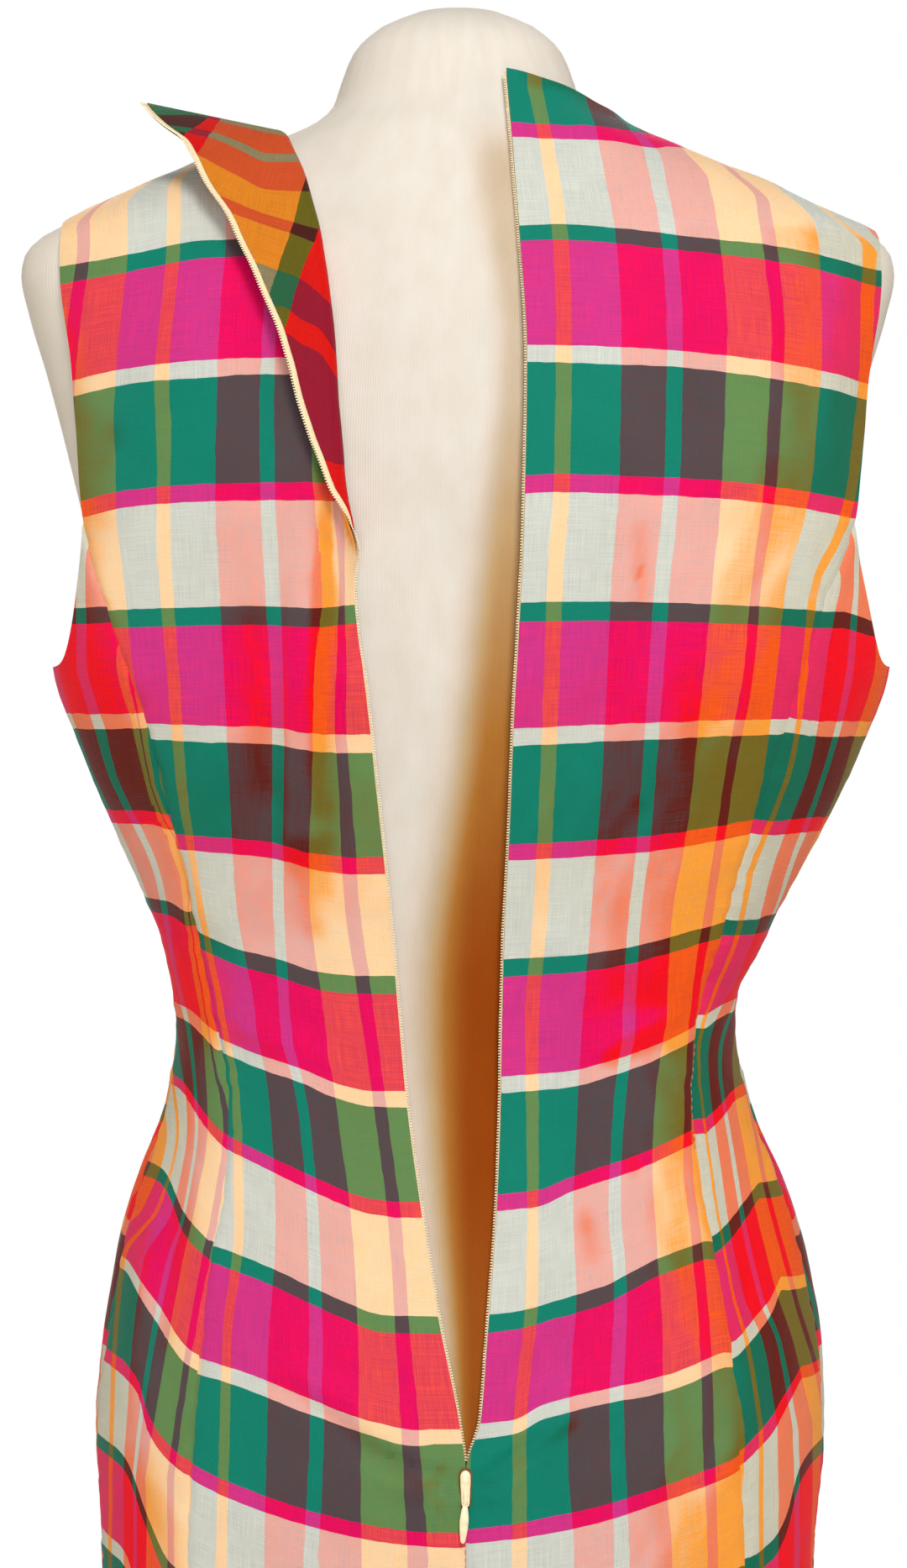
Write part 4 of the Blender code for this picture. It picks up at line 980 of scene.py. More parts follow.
def ripple(points, side):
    """The unevenness of the whole cloth: waves across and up it, each bent by the other."""
    x, z = points[..., 0] + WAVE_BY_DEPTH * side * points[..., 1], points[..., 2]
    bend_a, share_b, bend_b = WAVE_BENDS
    total = np.zeros_like(x)
    for row in WAVE_ROWS:
        wave = dict(zip(WAVE_COLUMNS, row))
        a = 2 * np.pi * x / wave["length_across"] + wave["turn"] + WAVE_SIDE_TURN * side
        b = 2 * np.pi * z / wave["length_up"] + 2.0 * wave["turn"]
        bent_a, bent_b = a + bend_a * np.sin(b), share_b * b + bend_b * np.sin(a)
        total += wave["height"] * np.sin(bent_a) * np.cos(bent_b)
    return total


def seam_relief(distance, z, turn):
    """The dip, the soft swelling beside it and the puckers at a distance from a seam."""
    dip = -SEAM_DIP * np.exp(-((distance / SEAM_DIP_WIDTH) ** 2))
    puff = SEAM_PUFF * np.exp(-(((distance - SEAM_PUFF_WIDTH) / SEAM_PUFF_WIDTH) ** 2))
    pucker = sum(np.sin(2 * np.pi * z / length + turn + k) for k, length in enumerate(PUCKER_LENGTHS))
    return dip + puff + PUCKER_HEIGHT * pucker * np.exp(-((distance / PUCKER_WIDTH) ** 2))


def row_distances(points):
    """Distances of a grid's points from its first and from its last column."""
    first = running(np.zeros((len(points), 1)), arc_steps(points))
    return first, first[:, -1:] - first


def painted_shade_share(points, normals, side):
    """How much painted shade the cloth takes at each point, from nothing to one."""
    turned = table(PAINTED_SHADE_SIDEWAYS, normals[..., 0]) + table(PAINTED_SHADE_UPWARD, normals[..., 2])
    share = table(PAINTED_SHADE_RANGE, turned)
    if side > 0:
        share += line_rise(points[..., 0], points[..., 2], PAINTED_SHADE_AND_MARK_ROWS, PAINTED_SHADE_AND_MARK_COLUMNS, False)
    return np.clip(share, 0.0, 1.0)


def cloth_rise(points, side, folded, least_width=0.0):
    """How far folds, creases, ripples and the hem's stitching raise the cloth."""
    x, z = points[..., 0], points[..., 2]
    width = CREASE_COLUMNS.index("width")
    creases = [row for row in CREASE_ROWS if row[0] == side and row[width] >= least_width]
    rise = ripple(points, side) + line_rise(x, z, creases, CREASE_COLUMNS, True)
    rise += line_rise(x, z, FOLD_ROWS, FOLD_COLUMNS, False) * folded
    rise *= np.clip((z - HEM_Z) / HEM_FADE, HEM_LEAST, 1.0)
    groove = (z - HEM_Z - HEM_TURN) / HEM_GROOVE_WIDTH
    varied = 1.0 - HEM_GROOVE_VARIES + HEM_GROOVE_VARIES * np.sin(x / HEM_GROOVE_STEP)
    return rise - HEM_GROOVE * np.exp(-groove * groove) * varied


def dressed(points, normals, side, seams, turn, folds=True):
    """The grid with its folds, creases and seams raised, and its share of painted shade."""
    z = points[..., 2]
    first, last = row_distances(points)
    folded = np.clip(last / (FOLD_FADE * last.max()), 0.0, 1.0) if folds else np.zeros_like(last)
    if seams[0] is not None:
        near_first = np.clip(1.0 - first / (FOLD_FADE * first.max()), 0.0, 1.0)
        folded = folded * (1.0 - seams[0](z) * near_first)
    rise = cloth_rise(points, side, folded)
    broad = cloth_rise(points, side, folded, BROAD_CREASE)
    share = painted_shade_share(points, normals_of(points + normals * broad[..., None]), side)
    for distance, sewn in ((first, seams[0]), (last, seams[1])):
        if sewn is not None:
            rise += seam_relief(distance, z, turn) * sewn(z)
    return points + normals * rise[..., None], share


def shell(name, points, normals, uv, thick, finish, first=0.0):
    """A closed thin shell over a grid, its named UV map holding places in the sett."""
    rows, columns = points.shape[:2]
    outer = points - normals * first
    inner = points - normals * (first + thick)
    verts = np.concatenate((outer.reshape(-1, 3), inner.reshape(-1, 3)))
    index = np.arange(rows * columns).reshape(rows, columns)
    a, b, c, d = index[:-1, :-1], index[:-1, 1:], index[1:, 1:], index[1:, :-1]
    quads = np.stack((a, b, c, d), axis=-1).reshape(-1, 4)
    below = quads[:, ::-1] + rows * columns
    rim = np.concatenate((index[0, :-1], index[:-1, -1], index[-1, :0:-1], index[:0:-1, 0]))
    after = np.roll(rim, -1)
    sides = np.stack((rim, rim + rows * columns, after + rows * columns, after), axis=-1)
    faces = np.concatenate((quads, below, sides))
    crossed = np.cross(outer[0, 1] - outer[0, 0], outer[1, 0] - outer[0, 0])
    if np.dot(crossed, normals[0, 0]) < 0:
        faces = faces[:, ::-1]
    both = np.concatenate((uv.reshape(-1, 2), uv.reshape(-1, 2)))
    return mesh_object(name, verts, faces, finish, both)


# The angle past which an edge is shaded sharp: cloth and form, metal, and spindles.
SHARP = math.radians(50)
LOFT_SHARP = math.radians(60)
SPINDLE_SHARP = math.radians(80)


def mesh_object(name, verts, faces, finish, uv=None, sharp=SHARP):
    data = bpy.data.meshes.new(name)
    data.from_pydata(verts.tolist(), [], faces.tolist() if hasattr(faces, "tolist") else faces)
    if uv is not None:
        layer = data.uv_layers.new(name="ClothUV")
        loops = np.empty(len(data.loops), dtype=np.int32)
        data.loops.foreach_get("vertex_index", loops)
        layer.data.foreach_set("uv", uv[loops].astype(np.float32).ravel())
    data.shade_smooth()
    data.set_sharp_from_angle(angle=sharp)
    data.materials.append(finish)
    obj = bpy.data.objects.new(name, data)
    bpy.context.collection.objects.link(obj)
    return obj


def linear(colour, gain=1.0):
    """A linear colour from one in 0 to 255 display values."""
    out = []
    for value in colour:
        c = value / 255.0
        c = c / 12.92 if c <= 0.04045 else ((c + 0.055) / 1.055) ** 2.4
        out.append(min(c * gain, 1.0))
    return (*out, 1.0)


class Graph:
    """Short calls for building a material's nodes."""

    def __init__(self, name):
        self.material = bpy.data.materials.new(name)
        self.material.use_nodes = True
        self.tree = self.material.node_tree
        self.shader = self.tree.nodes["Principled BSDF"]

    def node(self, kind, **settings):
        made = self.tree.nodes.new("ShaderNode" + kind)
        for key, value in settings.items():
            setattr(made, key, value)
        return made

    def link(self, out, into):
        self.tree.links.new(out, into)

    def put(self, socket, value):
        if hasattr(value, "is_output"):
            self.link(value, socket)
        else:
            socket.default_value = value

    def maths(self, operation, *values):
        made = self.node("Math", operation=operation)
        for socket, value in zip(made.inputs, values):
            self.put(socket, value)
        return made.outputs[0]

    def wave(self, value, pitch):
        """A sine along a UV coordinate, its pitch in metres."""
        return self.maths("SINE", self.maths("MULTIPLY", value, 2 * math.pi * UNIT / pitch))

    def within(self, place, shift, repeat):
        """A place's share of the repeat that it lies in."""
        ahead = self.maths("ADD", self.maths("ADD", place, shift), REPEATS_AHEAD * repeat)
        return self.maths("DIVIDE", self.maths("MODULO", ahead, repeat), repeat)

    def settle(self, **values):
        """Sets the shader's own sockets, named with _ for each space."""
        for name, value in values.items():
            self.shader.inputs[name.replace("_", " ")].default_value = value

    def mix(self, kind, factor, a, b):
        made = self.node("Mix", data_type="RGBA", blend_type=kind)
        self.put(made.inputs["Factor"], factor)
        self.put(made.inputs["A"], a)
        self.put(made.inputs["B"], b)
        return made.outputs["Result"]

    def uv(self):
        made = self.node("UVMap", uv_map="ClothUV")
        split = self.node("SeparateXYZ")
        self.link(made.outputs[0], split.inputs[0])
        return split.outputs[0], split.outputs[1]

    def place(self, *values):
        made = self.node("CombineXYZ")
        for socket, value in zip(made.inputs, values):
            self.put(socket, value)
        return made.outputs[0]

    def noise(self, vector, scale, detail=2.0, roughness=0.5):
        made = self.node("TexNoise")
        self.put(made.inputs["Vector"], vector)
        made.inputs["Scale"].default_value = scale
        made.inputs["Detail"].default_value = detail
        made.inputs["Roughness"].default_value = roughness
        return made.outputs["Fac"]

    def ramp(self, value, stops, smooth_steps=False):
        made = self.node("ValToRGB")
        ramp = made.color_ramp
        ramp.interpolation = "LINEAR" if smooth_steps else "CONSTANT"
        ramp.elements[0].position, ramp.elements[0].color = stops[0]
        ramp.elements[1].position, ramp.elements[1].color = stops[1]
        for position, colour in stops[2:]:
            ramp.elements.new(position).color = colour
        self.put(made.inputs[0], value)
        return made.outputs[0]

    def bump(self, height, distance, strength, before=None):
        made = self.node("Bump")
        made.inputs["Distance"].default_value = distance
        made.inputs["Strength"].default_value = strength
        self.put(made.inputs["Height"], height)
        if before is not None:
            self.link(before, made.inputs["Normal"])
        return made.outputs[0]


# How bright the cloth's own colours are against the display's, under the lights here.
CLOTH_GAIN = 0.86
# The check's stripes wander a little, and its slubs are long along each thread. Slubs
# lift the tone and break up the painted shade: a factor and an offset each.
REPEATS_AHEAD = 20
WANDER_SCALE = 1.1
WANDER = 0.10
SLUB_LONG = 0.55
SLUB_FINE = 26.0
SLUB_LIFT = (0.50, 0.50)
SLUB_IN_PAINTED_SHADE = (1.3, -1.22)
SLUB_ROUGHNESS = (0.20, 0.42)
PATCH_SCALE = 0.35
PATCH_TONES = ((0.3, (0.94, 0.93, 0.92, 1)), (0.7, (1.0, 1.0, 1.0, 1)))
THREAD_PITCH = 0.0007
# Relief: its height in metres and its strength.
WEAVE_RELIEF = (0.00008, 0.35)
SLUB_RELIEF = (0.0004, 0.35)
TAPE_RELIEF = (0.00012, 0.5)
KNIT_RELIEF = (0.0002, 0.15)
TAPE_SLANTS = 14.0
TAPE_SLANT = 0.05
TAPE_RIB_PITCH = 0.0008
# The tape's two tones follow its ribs: painted shade makes the grooves darker.
TAPE_GROOVE_SHADE_TONES = ((222, 196, 150), (246, 226, 188))
KNIT_RIB_PITCH = 0.0016
KNIT_COURSE_PITCH = 0.0011
KNIT_COURSE_SHARE = 0.15
# The jersey's two tones follow its ribs: faint painted shade in the grooves.
KNIT_GROOVE_SHADE_TONES = ((212, 205, 194), (218, 212, 203))
KNIT_CLOUD_SCALE = 0.5
KNIT_CLOUD_TONES = ((0.3, (0.95, 0.93, 0.90, 1)), (0.7, (1, 1, 1, 1)))


def warp_stops(colours):
    """Colour stops along the warp's repeat, from its colours over one weft."""
    stops = []
    for k, (wide, narrow) in enumerate(WARP_ORDER):
        middle = (k + 0.5) * WIDE
        starts = (k * WIDE, middle - STRIPE / 2, middle + STRIPE / 2)
        for start, name in zip(starts, (wide, narrow, wide)):
            stops.append((start / WARP_REPEAT, linear(colours[name], CLOTH_GAIN)))
    return stops


def weft_stops(weft):
    """White where this weft runs and black elsewhere, along the weft's repeat."""
    stops = []
    for k, (wide, narrow) in enumerate(WEFT_ORDER):
        for start, name in ((k * WEFT_PITCH, wide), (k * WEFT_PITCH + WIDE, narrow)):
            stops.append((start / WEFT_REPEAT, (1, 1, 1, 1) if name == weft else (0, 0, 0, 1)))
    return stops


def check_colour(g, warp, weft, colours):
    """The check's own colour where these places of the warp and the weft cross."""
    colour = g.ramp(warp, warp_stops(colours["white"]))
    for band in ("green", "magenta"):
        here = g.ramp(weft, weft_stops(band))
        colour = g.mix("MIX", here, colour, g.ramp(warp, warp_stops(colours[band])))
    return colour


def two_tones(g, wave, tones):
    """Two display colours, mixed by a wave from -1 to 1."""
    stops = [(place, linear(colour)) for place, colour in zip((0.0, 1.0), tones)]
    return g.ramp(g.maths("MULTIPLY_ADD", wave, 0.5, 0.5), stops, True)


def check_material(name, colours, turned=None):
    """The madras check: bands of warp and weft, slubs along both, and a plain weave."""
    g = Graph(name)
    u, v = g.uv()
    place = g.place(u, v)
    wander = g.noise(place, WANDER_SCALE, 1.0)
    shift = g.maths("MULTIPLY", g.maths("SUBTRACT", wander, 0.5), WANDER)
    warp = g.within(u, shift, WARP_REPEAT)
    weft = g.within(v, shift, WEFT_REPEAT)
    colour = check_colour(g, warp, weft, colours)
    across = g.place(g.maths("MULTIPLY", u, SLUB_LONG), g.maths("MULTIPLY", v, SLUB_FINE))
    along = g.place(g.maths("MULTIPLY", u, SLUB_FINE), g.maths("MULTIPLY", v, SLUB_LONG))
    slubs = g.maths("ADD", g.noise(across, 1.0), g.noise(along, 1.0))
    # Painted shade: by the share each point keeps, broken up by slubs, the check turns to its shaded
    # colours.
    if turned:
        share = g.node("Attribute", attribute_name="turned").outputs["Fac"]
        share = g.maths("ADD", share, g.maths("MULTIPLY_ADD", slubs, *SLUB_IN_PAINTED_SHADE))
        colour = g.mix("MIX", share, colour, check_colour(g, warp, weft, turned))
    lift = g.maths("MULTIPLY_ADD", slubs, *SLUB_LIFT)
    colour = g.mix("MULTIPLY", 1.0, colour, g.place(lift, lift, lift))
    patches = g.ramp(g.noise(place, PATCH_SCALE), PATCH_TONES, True)
    colour = g.mix("MULTIPLY", 1.0, colour, patches)
    g.link(colour, g.shader.inputs["Base Color"])
    weave = g.maths("MULTIPLY", g.wave(u, THREAD_PITCH), g.wave(v, THREAD_PITCH))
    fine = g.bump(weave, *WEAVE_RELIEF)
    g.link(g.bump(slubs, *SLUB_RELIEF, fine), g.shader.inputs["Normal"])
    g.link(g.maths("MULTIPLY_ADD", slubs, *SLUB_ROUGHNESS), g.shader.inputs["Roughness"])
    g.settle(Sheen_Weight=0.02, Sheen_Roughness=0.5, Specular_IOR_Level=0.08)
    return g.material


def tape_material():
    """Cream herringbone tape: slanted ribs that turn at its middle, painted darker in their grooves
    as shade.
    """
    g = Graph("tape_cloth")
    u, v = g.uv()
    slant = g.maths("ABSOLUTE", g.maths("SINE", g.maths("MULTIPLY", u, TAPE_SLANTS)))
    ribs = g.wave(g.maths("ADD", v, g.maths("MULTIPLY", slant, TAPE_SLANT)), TAPE_RIB_PITCH)
    g.link(two_tones(g, ribs, TAPE_GROOVE_SHADE_TONES), g.shader.inputs["Base Color"])
    g.link(g.bump(ribs, *TAPE_RELIEF), g.shader.inputs["Normal"])
    g.settle(Roughness=0.8, Sheen_Weight=0.1)
    return g.material


# Plain finishes: two display colours in soft clouds, roughness, the clouds' scale, the
# height of a fine grain in metres, and a coat.
FINISH_COLUMNS = ("colour", "tint", "roughness", "scale", "grain", "coat")
FINISH_ROWS = {
    "zip_coil": ((247, 232, 200), (226, 205, 165), 0.5, 300.0, 0.00002, 0.0),
    "sewing_thread": ((205, 120, 120), (160, 60, 80), 0.7, 400.0, 0.00002, 0.0),
    "cream_enamel": ((242, 226, 190), (222, 200, 158), 0.32, 260.0, 0.00002, 0.3),
    # Painted shade, for the dark sheet in the open seam round the slider.
    "painted_gap_shade": ((118, 66, 30), (84, 44, 20), 0.9, 300.0, 0.00002, 0.0),
    "cream_paint": ((226, 220, 208), (214, 207, 193), 0.42, 30.0, 0.00003, 0.15),
    "pale_floor": ((236, 234, 230), (230, 228, 224), 0.7, 3.0, 0.0001, 0.0),
}
CLOUD_FROM = 0.35
CLOUD_TO = 0.65
CLOUD_ROUGHNESS = 0.2
GRAIN_FINER = 12.0
GRAIN_STRENGTH = 0.4


def plain_material(name):
    """A colour that varies a little, with a fine grain in its roughness and relief."""
    finish = dict(zip(FINISH_COLUMNS, FINISH_ROWS[name]))
    g = Graph(name)
    coordinates = g.node("TexCoord").outputs["Object"]
    cloud = g.noise(coordinates, finish["scale"], 4.0, 0.6)
    tones = [(CLOUD_FROM, linear(finish["tint"])), (CLOUD_TO, linear(finish["colour"]))]
    g.link(g.ramp(cloud, tones, True), g.shader.inputs["Base Color"])
    least = finish["roughness"] - CLOUD_ROUGHNESS / 2
    g.link(g.maths("MULTIPLY_ADD", cloud, CLOUD_ROUGHNESS, least), g.shader.inputs["Roughness"])
    fine = g.noise(coordinates, finish["scale"] * GRAIN_FINER)
    g.link(g.bump(fine, finish["grain"], GRAIN_STRENGTH), g.shader.inputs["Normal"])
    g.settle(Coat_Weight=finish["coat"])
    return g.material


# The warm shade that the open right edge throws on the form, by height: the places from
# the centre where it starts and is full, and how deep it gets.
SHADE_COLUMNS = ("z", "start", "full", "depth")
SHADE_ROWS = (
    (0.790, 0.0060, -0.0050, 0.95),
    (0.832, 0.0050, -0.0050, 0.95),
    (0.883, 0.0137, -0.0056, 0.95),
    (0.951, 0.0256, -0.0049, 1.00),
    (1.019, 0.0323, -0.0056, 1.00),
    (1.121, 0.0137, -0.0124, 0.82),
    (1.206, 0.0018, -0.0185, 0.62),
    (1.291, -0.0110, -0.0226, 0.38),
    (1.366, 0.0002, -0.0158, 0.42),
    (1.392, 0.0002, -0.0158, 0.00),
    (1.443, 0.0002, -0.0158, 0.00),
)
SHADE_TO_X = -0.10
SHADE_FADE_X = 0.03
SHADE_TONES = (
    (0.0, (1.00, 1.00, 1.00, 1)),
    (0.2, (0.95, 0.87, 0.82, 1)),
    (0.4, (0.80, 0.69, 0.56, 1)),
    (0.6, (0.70, 0.49, 0.26, 1)),
    (0.8, (0.56, 0.24, 0.045, 1)),
    (1.0, (0.40, 0.080, 0.002, 1)),
)


def jersey_material():
    """Cream ribbed jersey: fine upright ribs, crossed by courses of stitches, with faint painted
    shade between the ribs.
    """
    g = Graph("ribbed_jersey")
    u, v = g.uv()
    rib = g.wave(u, KNIT_RIB_PITCH)
    knit = g.maths("MULTIPLY_ADD", g.wave(v, KNIT_COURSE_PITCH), KNIT_COURSE_SHARE, rib)
    cloud = g.ramp(g.noise(g.place(u, v), KNIT_CLOUD_SCALE, 3.0), KNIT_CLOUD_TONES, True)
    cloth = g.mix("MULTIPLY", 1.0, two_tones(g, rib, KNIT_GROOVE_SHADE_TONES), cloud)
    shade = g.node("Attribute", attribute_name="shade").outputs["Fac"]
    colour = g.mix("MULTIPLY", 1.0, cloth, g.ramp(shade, SHADE_TONES, True))
    g.link(colour, g.shader.inputs["Base Color"])
    g.link(g.bump(knit, *KNIT_RELIEF), g.shader.inputs["Normal"])
    g.settle(Roughness=0.85, Specular_IOR_Level=0.1)
    return g.material


def always(z):
    return np.ones_like(z)


def below_zip(z):
    """One where the centre-back seam is sewn, nothing where the zip is open."""
    return np.clip((ZIP_END_Z - ZIP_SEWN_BELOW - z) / ZIP_SEWN_FADE, 0.0, 1.0)


def below_armhole(z):
    return np.clip((ARMHOLE_Z + ARMHOLE_SEWN_ABOVE - z) / ARMHOLE_SEWN_FADE, 0.0, 1.0)


CHECK = check_material("madras_check", CHECK_COLOURS, PAINTED_SHADE_COLOURS)
# The facing's check, in painted shade.
CHECK_IN_PAINTED_SHADE = check_material("madras_wrong_side", FACING_PAINTED_SHADE_COLOURS)
TAPE = tape_material()
COIL = plain_material("zip_coil")
THREAD = plain_material("sewing_thread")
ENAMEL = plain_material("cream_enamel")
GAP_SHADE_PAINT = plain_material("painted_gap_shade")
PAINT = plain_material("cream_paint")
JERSEY = jersey_material()


def piece(obj, slot, *nodes, body="dress"):
    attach(obj, body)
    if nodes:
        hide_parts(*nodes)
    return obj


def sheet(name, points, normals, uv, finish, slot, thick=SHELL, under=0.0):
    """A panel's cloth as a thin shell, which stands for the solid of the same name."""
    made = shell(name + "_cloth", points, normals, np.stack(uv, axis=-1), thick, finish, under)
    piece(made, slot, name)
    return made


def store(obj, name, values):
    """Keeps a number for each point of a mesh, for its material to read."""
    obj.data.attributes.new(name, "FLOAT", "POINT").data.foreach_set("value", values)


def check_panel(name, points, normals, uv, warm):
    made = sheet(name, points, normals, uv, CHECK, "plaid_cloth")
    # Each point keeps its share of painted shade, for the check to read.
    store(made, "turned", np.tile(warm.ravel(), 2))


def back_panel(points, chart, outward, seams, folds=True):
    """A back panel's grid with its relief, its normals, its check and its share of painted shade."""
    normals = normals_of(points)
    uv = charted(points, normals, chart, outward)
    turn = PUCKER_TURNS[chart.split("_")[0]]
    points, warm = dressed(points, normals, 1, seams, turn, folds)
    return points, normals_of(points), uv, warm


def build_backs():
    """The centre backs. The left one runs on through its strip to the open edge."""
    right = back_panel(right_back_points(), "right", 1.0, (below_zip, below_armhole))
    check_panel("centre_back_right", *right)
    main, normals, (u, v), warm = back_panel(left_back_points(), "left", -1.0, (None, below_armhole))
    strip, turned, places = left_strip(main, normals)
    strip_u = u[:, :1] + (EDGE_SETT_U - u[:, :1]) * places / places[:, -1:]
    skews = strip_at("skew", main[:, 0, 2])[:, None]
    strip_v = v[:, :1] - places * np.sin(skews) / UNIT
    strip_warm = painted_shade_share(strip, turned, 1)

    def joined(of_strip, of_main):
        return np.concatenate((of_strip[:, :0:-1], of_main), axis=1)

    points, both = joined(strip, main), joined(turned, normals)
    relief = seam_relief(row_distances(points)[0], points[..., 2], PUCKER_TURNS["centre"])
    points = points + both * (relief * below_zip(points[..., 2]))[..., None]
    uv = (joined(strip_u, u), joined(strip_v, v))
    check_panel("centre_back_left", points, both, uv, joined(strip_warm, warm))
    return right[0], strip, turned


def build_sides():
    for name, chart, seam, sign in (
        ("side_back_right", "right_side", "princess_right", -1),
        ("side_back_left", "left_side", "princess_left", 1),
    ):
        points = side_points(seam, sign, 1)
        check_panel(name, *back_panel(points, chart, -float(sign), (always, always), False))


def build_fronts():
    """The front's panels, whose check starts from the centre front's middle."""
    front = front_points()
    normals = normals_of(front)
    u, v = front_sett(front, 1.0)
    u = -(u + FRONT_SETT_U - u[:, FRONT_COLUMNS // 2][:, None])
    seams, turn = (below_armhole, below_armhole), PUCKER_TURNS["front"]
    front, warm = dressed(front, normals, -1, seams, turn, False)
    check_panel("centre_front", front, normals_of(front), (u, v), warm)
    rows = len(levels_below_armhole())
    for name, sign, edge in (
        ("side_front_right", -1, u[:rows, :1]),
        ("side_front_left", 1, u[:rows, -1:]),
    ):
        points = side_points("front_princess", sign, -1)
        normals = normals_of(points)
        side_u, side_v = front_sett(points, -sign)
        points, warm = dressed(points, normals, -1, (always, always), turn, False)
        check_panel(name, points, normals_of(points), (side_u + edge, side_v), warm)


def build_facing(strip, turned):
    """The facing on the flap, whose check is cut crosswise, in its colours of painted shade."""
    curl = strip_at("curl", strip[:, 0, 2])
    rows = curl >= FACING_FROM_CURL
    last = strip.shape[1] - 1 - HEM_COLUMNS // 2
    points, normals = strip[rows, last::-1], turned[rows, last::-1]
    shown = points - normals * FACING_UNDER
    x, y = photo_place(shown)
    uv = (sett_place(FACING_WARP, y, x), sett_place(FACING_WEFT, x, y))
    sheet(
        "neck_facing_left", points, normals, uv, CHECK_IN_PAINTED_SHADE, "facing_cloth",
        under=FACING_UNDER,
    )


def past_edge(edge, inner, z):
    """The tape's edge, a little past the cloth's where the zip is open."""
    opened = np.clip((z - ZIP_END_Z) / TAPE_FULL_ABOVE, TAPE_SHOWS_LEAST, 1.0)[:, None]
    return edge + unit(edge - inner) * TAPE_SHOWS * opened


def build_tapes(right, strip, turned):
    """The zip's tapes, and the coil along each one's edge."""
    rows = strip[:, 0, 2] >= TAPE_END_Z
    band = strip[rows, -1 - HEM_COLUMNS :][:, ::-1]
    band_normals = turned[rows, -1 - HEM_COLUMNS :][:, ::-1]
    taped("left", band, band_normals, strip[rows, 0, 2], LEFT_TAPE_UNDER)
    rows = right[:, 0, 2] >= TAPE_END_Z
    cloth = right[rows]
    distance = row_distances(cloth)[0]
    places = np.linspace(0.0, TAPE_INSIDE, TAPE_COLUMNS + 1)
    band = np.array([at_spots(places, away, row) for row, away in zip(cloth, distance)])
    first = np.repeat(normals_of(right)[rows, :1], len(places), axis=1)
    taped("right", band, first, band[:, 0, 2], RIGHT_TAPE_UNDER)


def taped(side, band, normals, z, under):
    """One tape under the edge of its band of cloth, and its coil."""
    edge = past_edge(band[:, 0], band[:, 1], z)
    points = np.concatenate((edge[:, None], band[:, 1:]), axis=1)
    across = row_distances(points)[0] / UNIT
    along = np.repeat(path_lengths(edge)[:, None] / UNIT, points.shape[1], axis=1)
    sheet("zip_tape_" + side, points, normals, (across, along), TAPE, "zip_tape", TAPE_SHELL, under)
    coil("zip_coil_" + side, edge, unit(edge - band[:, 1]), normals[:, 0], under)


TOOTH_PITCH = 0.00115
TOOTH_LONG = 0.0013
TOOTH_HALF = 0.00036
TOOTH_PAST = 0.0003
COIL_FROM_Z = ZIP_END_Z + 0.004


def coil(name, edge, out, normals, under):
    """Small rounded loops across the tape's edge, one every TOOTH_PITCH, above the slider."""
    shown = edge[:, 2] > COIL_FROM_Z
    edge, out, normals = edge[shown], out[shown], normals[shown]
    along = path_lengths(edge)
    spots = np.arange(0.0, along[-1], TOOTH_PITCH)
    centre = at_spots(spots, along, edge)
    across, up = unit(at_spots(spots, along, out)), unit(at_spots(spots, along, normals))
    centre = centre - up * (under + 0.5 * SHELL) + across * TOOTH_PAST
    side = unit(np.cross(across, up))
    spindles(name, centre, across, side, up, TOOTH_LONG, TOOTH_HALF, COIL, "zip_tape")


SPINDLE_SIDES = 6
# Along a spindle: places as shares of its length, and widths as shares of its widest.
SPINDLE_PROFILE = ((-0.5, 0.0), (-0.36, 0.8), (0.0, 1.0), (0.36, 0.8), (0.5, 0.0))


def spindles(name, centre, across, side, up, length, half, finish, slot):
    """Closed rounded spindles, one at each centre, joined into one object."""
    sides = SPINDLE_SIDES
    (start, _), *middle, (end, _) = SPINDLE_PROFILE
    verts, faces = [], []
    for c, a, s, n in zip(centre, across, side, up):
        base = len(verts)
        verts.append(c + a * start * length)
        for along, width in middle:
            for k in range(sides):
                turn = 2 * math.pi * k / sides
                out = s * math.cos(turn) + n * math.sin(turn)
                verts.append(c + a * along * length + out * width * half)
        verts.append(c + a * end * length)
        rings = [[base + 1 + r * sides + k for k in range(sides)] for r in range(len(middle))]
        tip = base + 1 + len(middle) * sides
        for k in range(sides):
            m = (k + 1) % sides
            faces.append((base, rings[0][m], rings[0][k]))
            faces.append((tip, rings[-1][k], rings[-1][m]))
            for low, high in zip(rings, rings[1:]):
                faces.append((low[k], low[m], high[m], high[k]))
    made = mesh_object(name, np.array(verts), faces, finish, None, SPINDLE_SHARP)
    return piece(made, slot)


def ring_faces(count, sides, closed=False):
    """Faces between rings of points, each ring after the one before."""
    faces = []
    for j in range(count if closed else count - 1):
        low, high = j * sides, (j + 1) % count * sides
        for k in range(sides):
            n = (k + 1) % sides
            faces.append((low + k, low + n, high + n, high + k))
    return faces


def shade_of(points):
    """How deep the open edge's shade is at points of the form."""
    x, y, z = points.T
    start, full, depth = [column(SHADE_COLUMNS, SHADE_ROWS, name, z) for name in SHADE_COLUMNS[1:]]
    beyond = np.clip((x - SHADE_TO_X) / SHADE_FADE_X, 0.0, 1.0)
    return depth * eased((start - x) / (start - full)) * beyond * (y > 0.0)


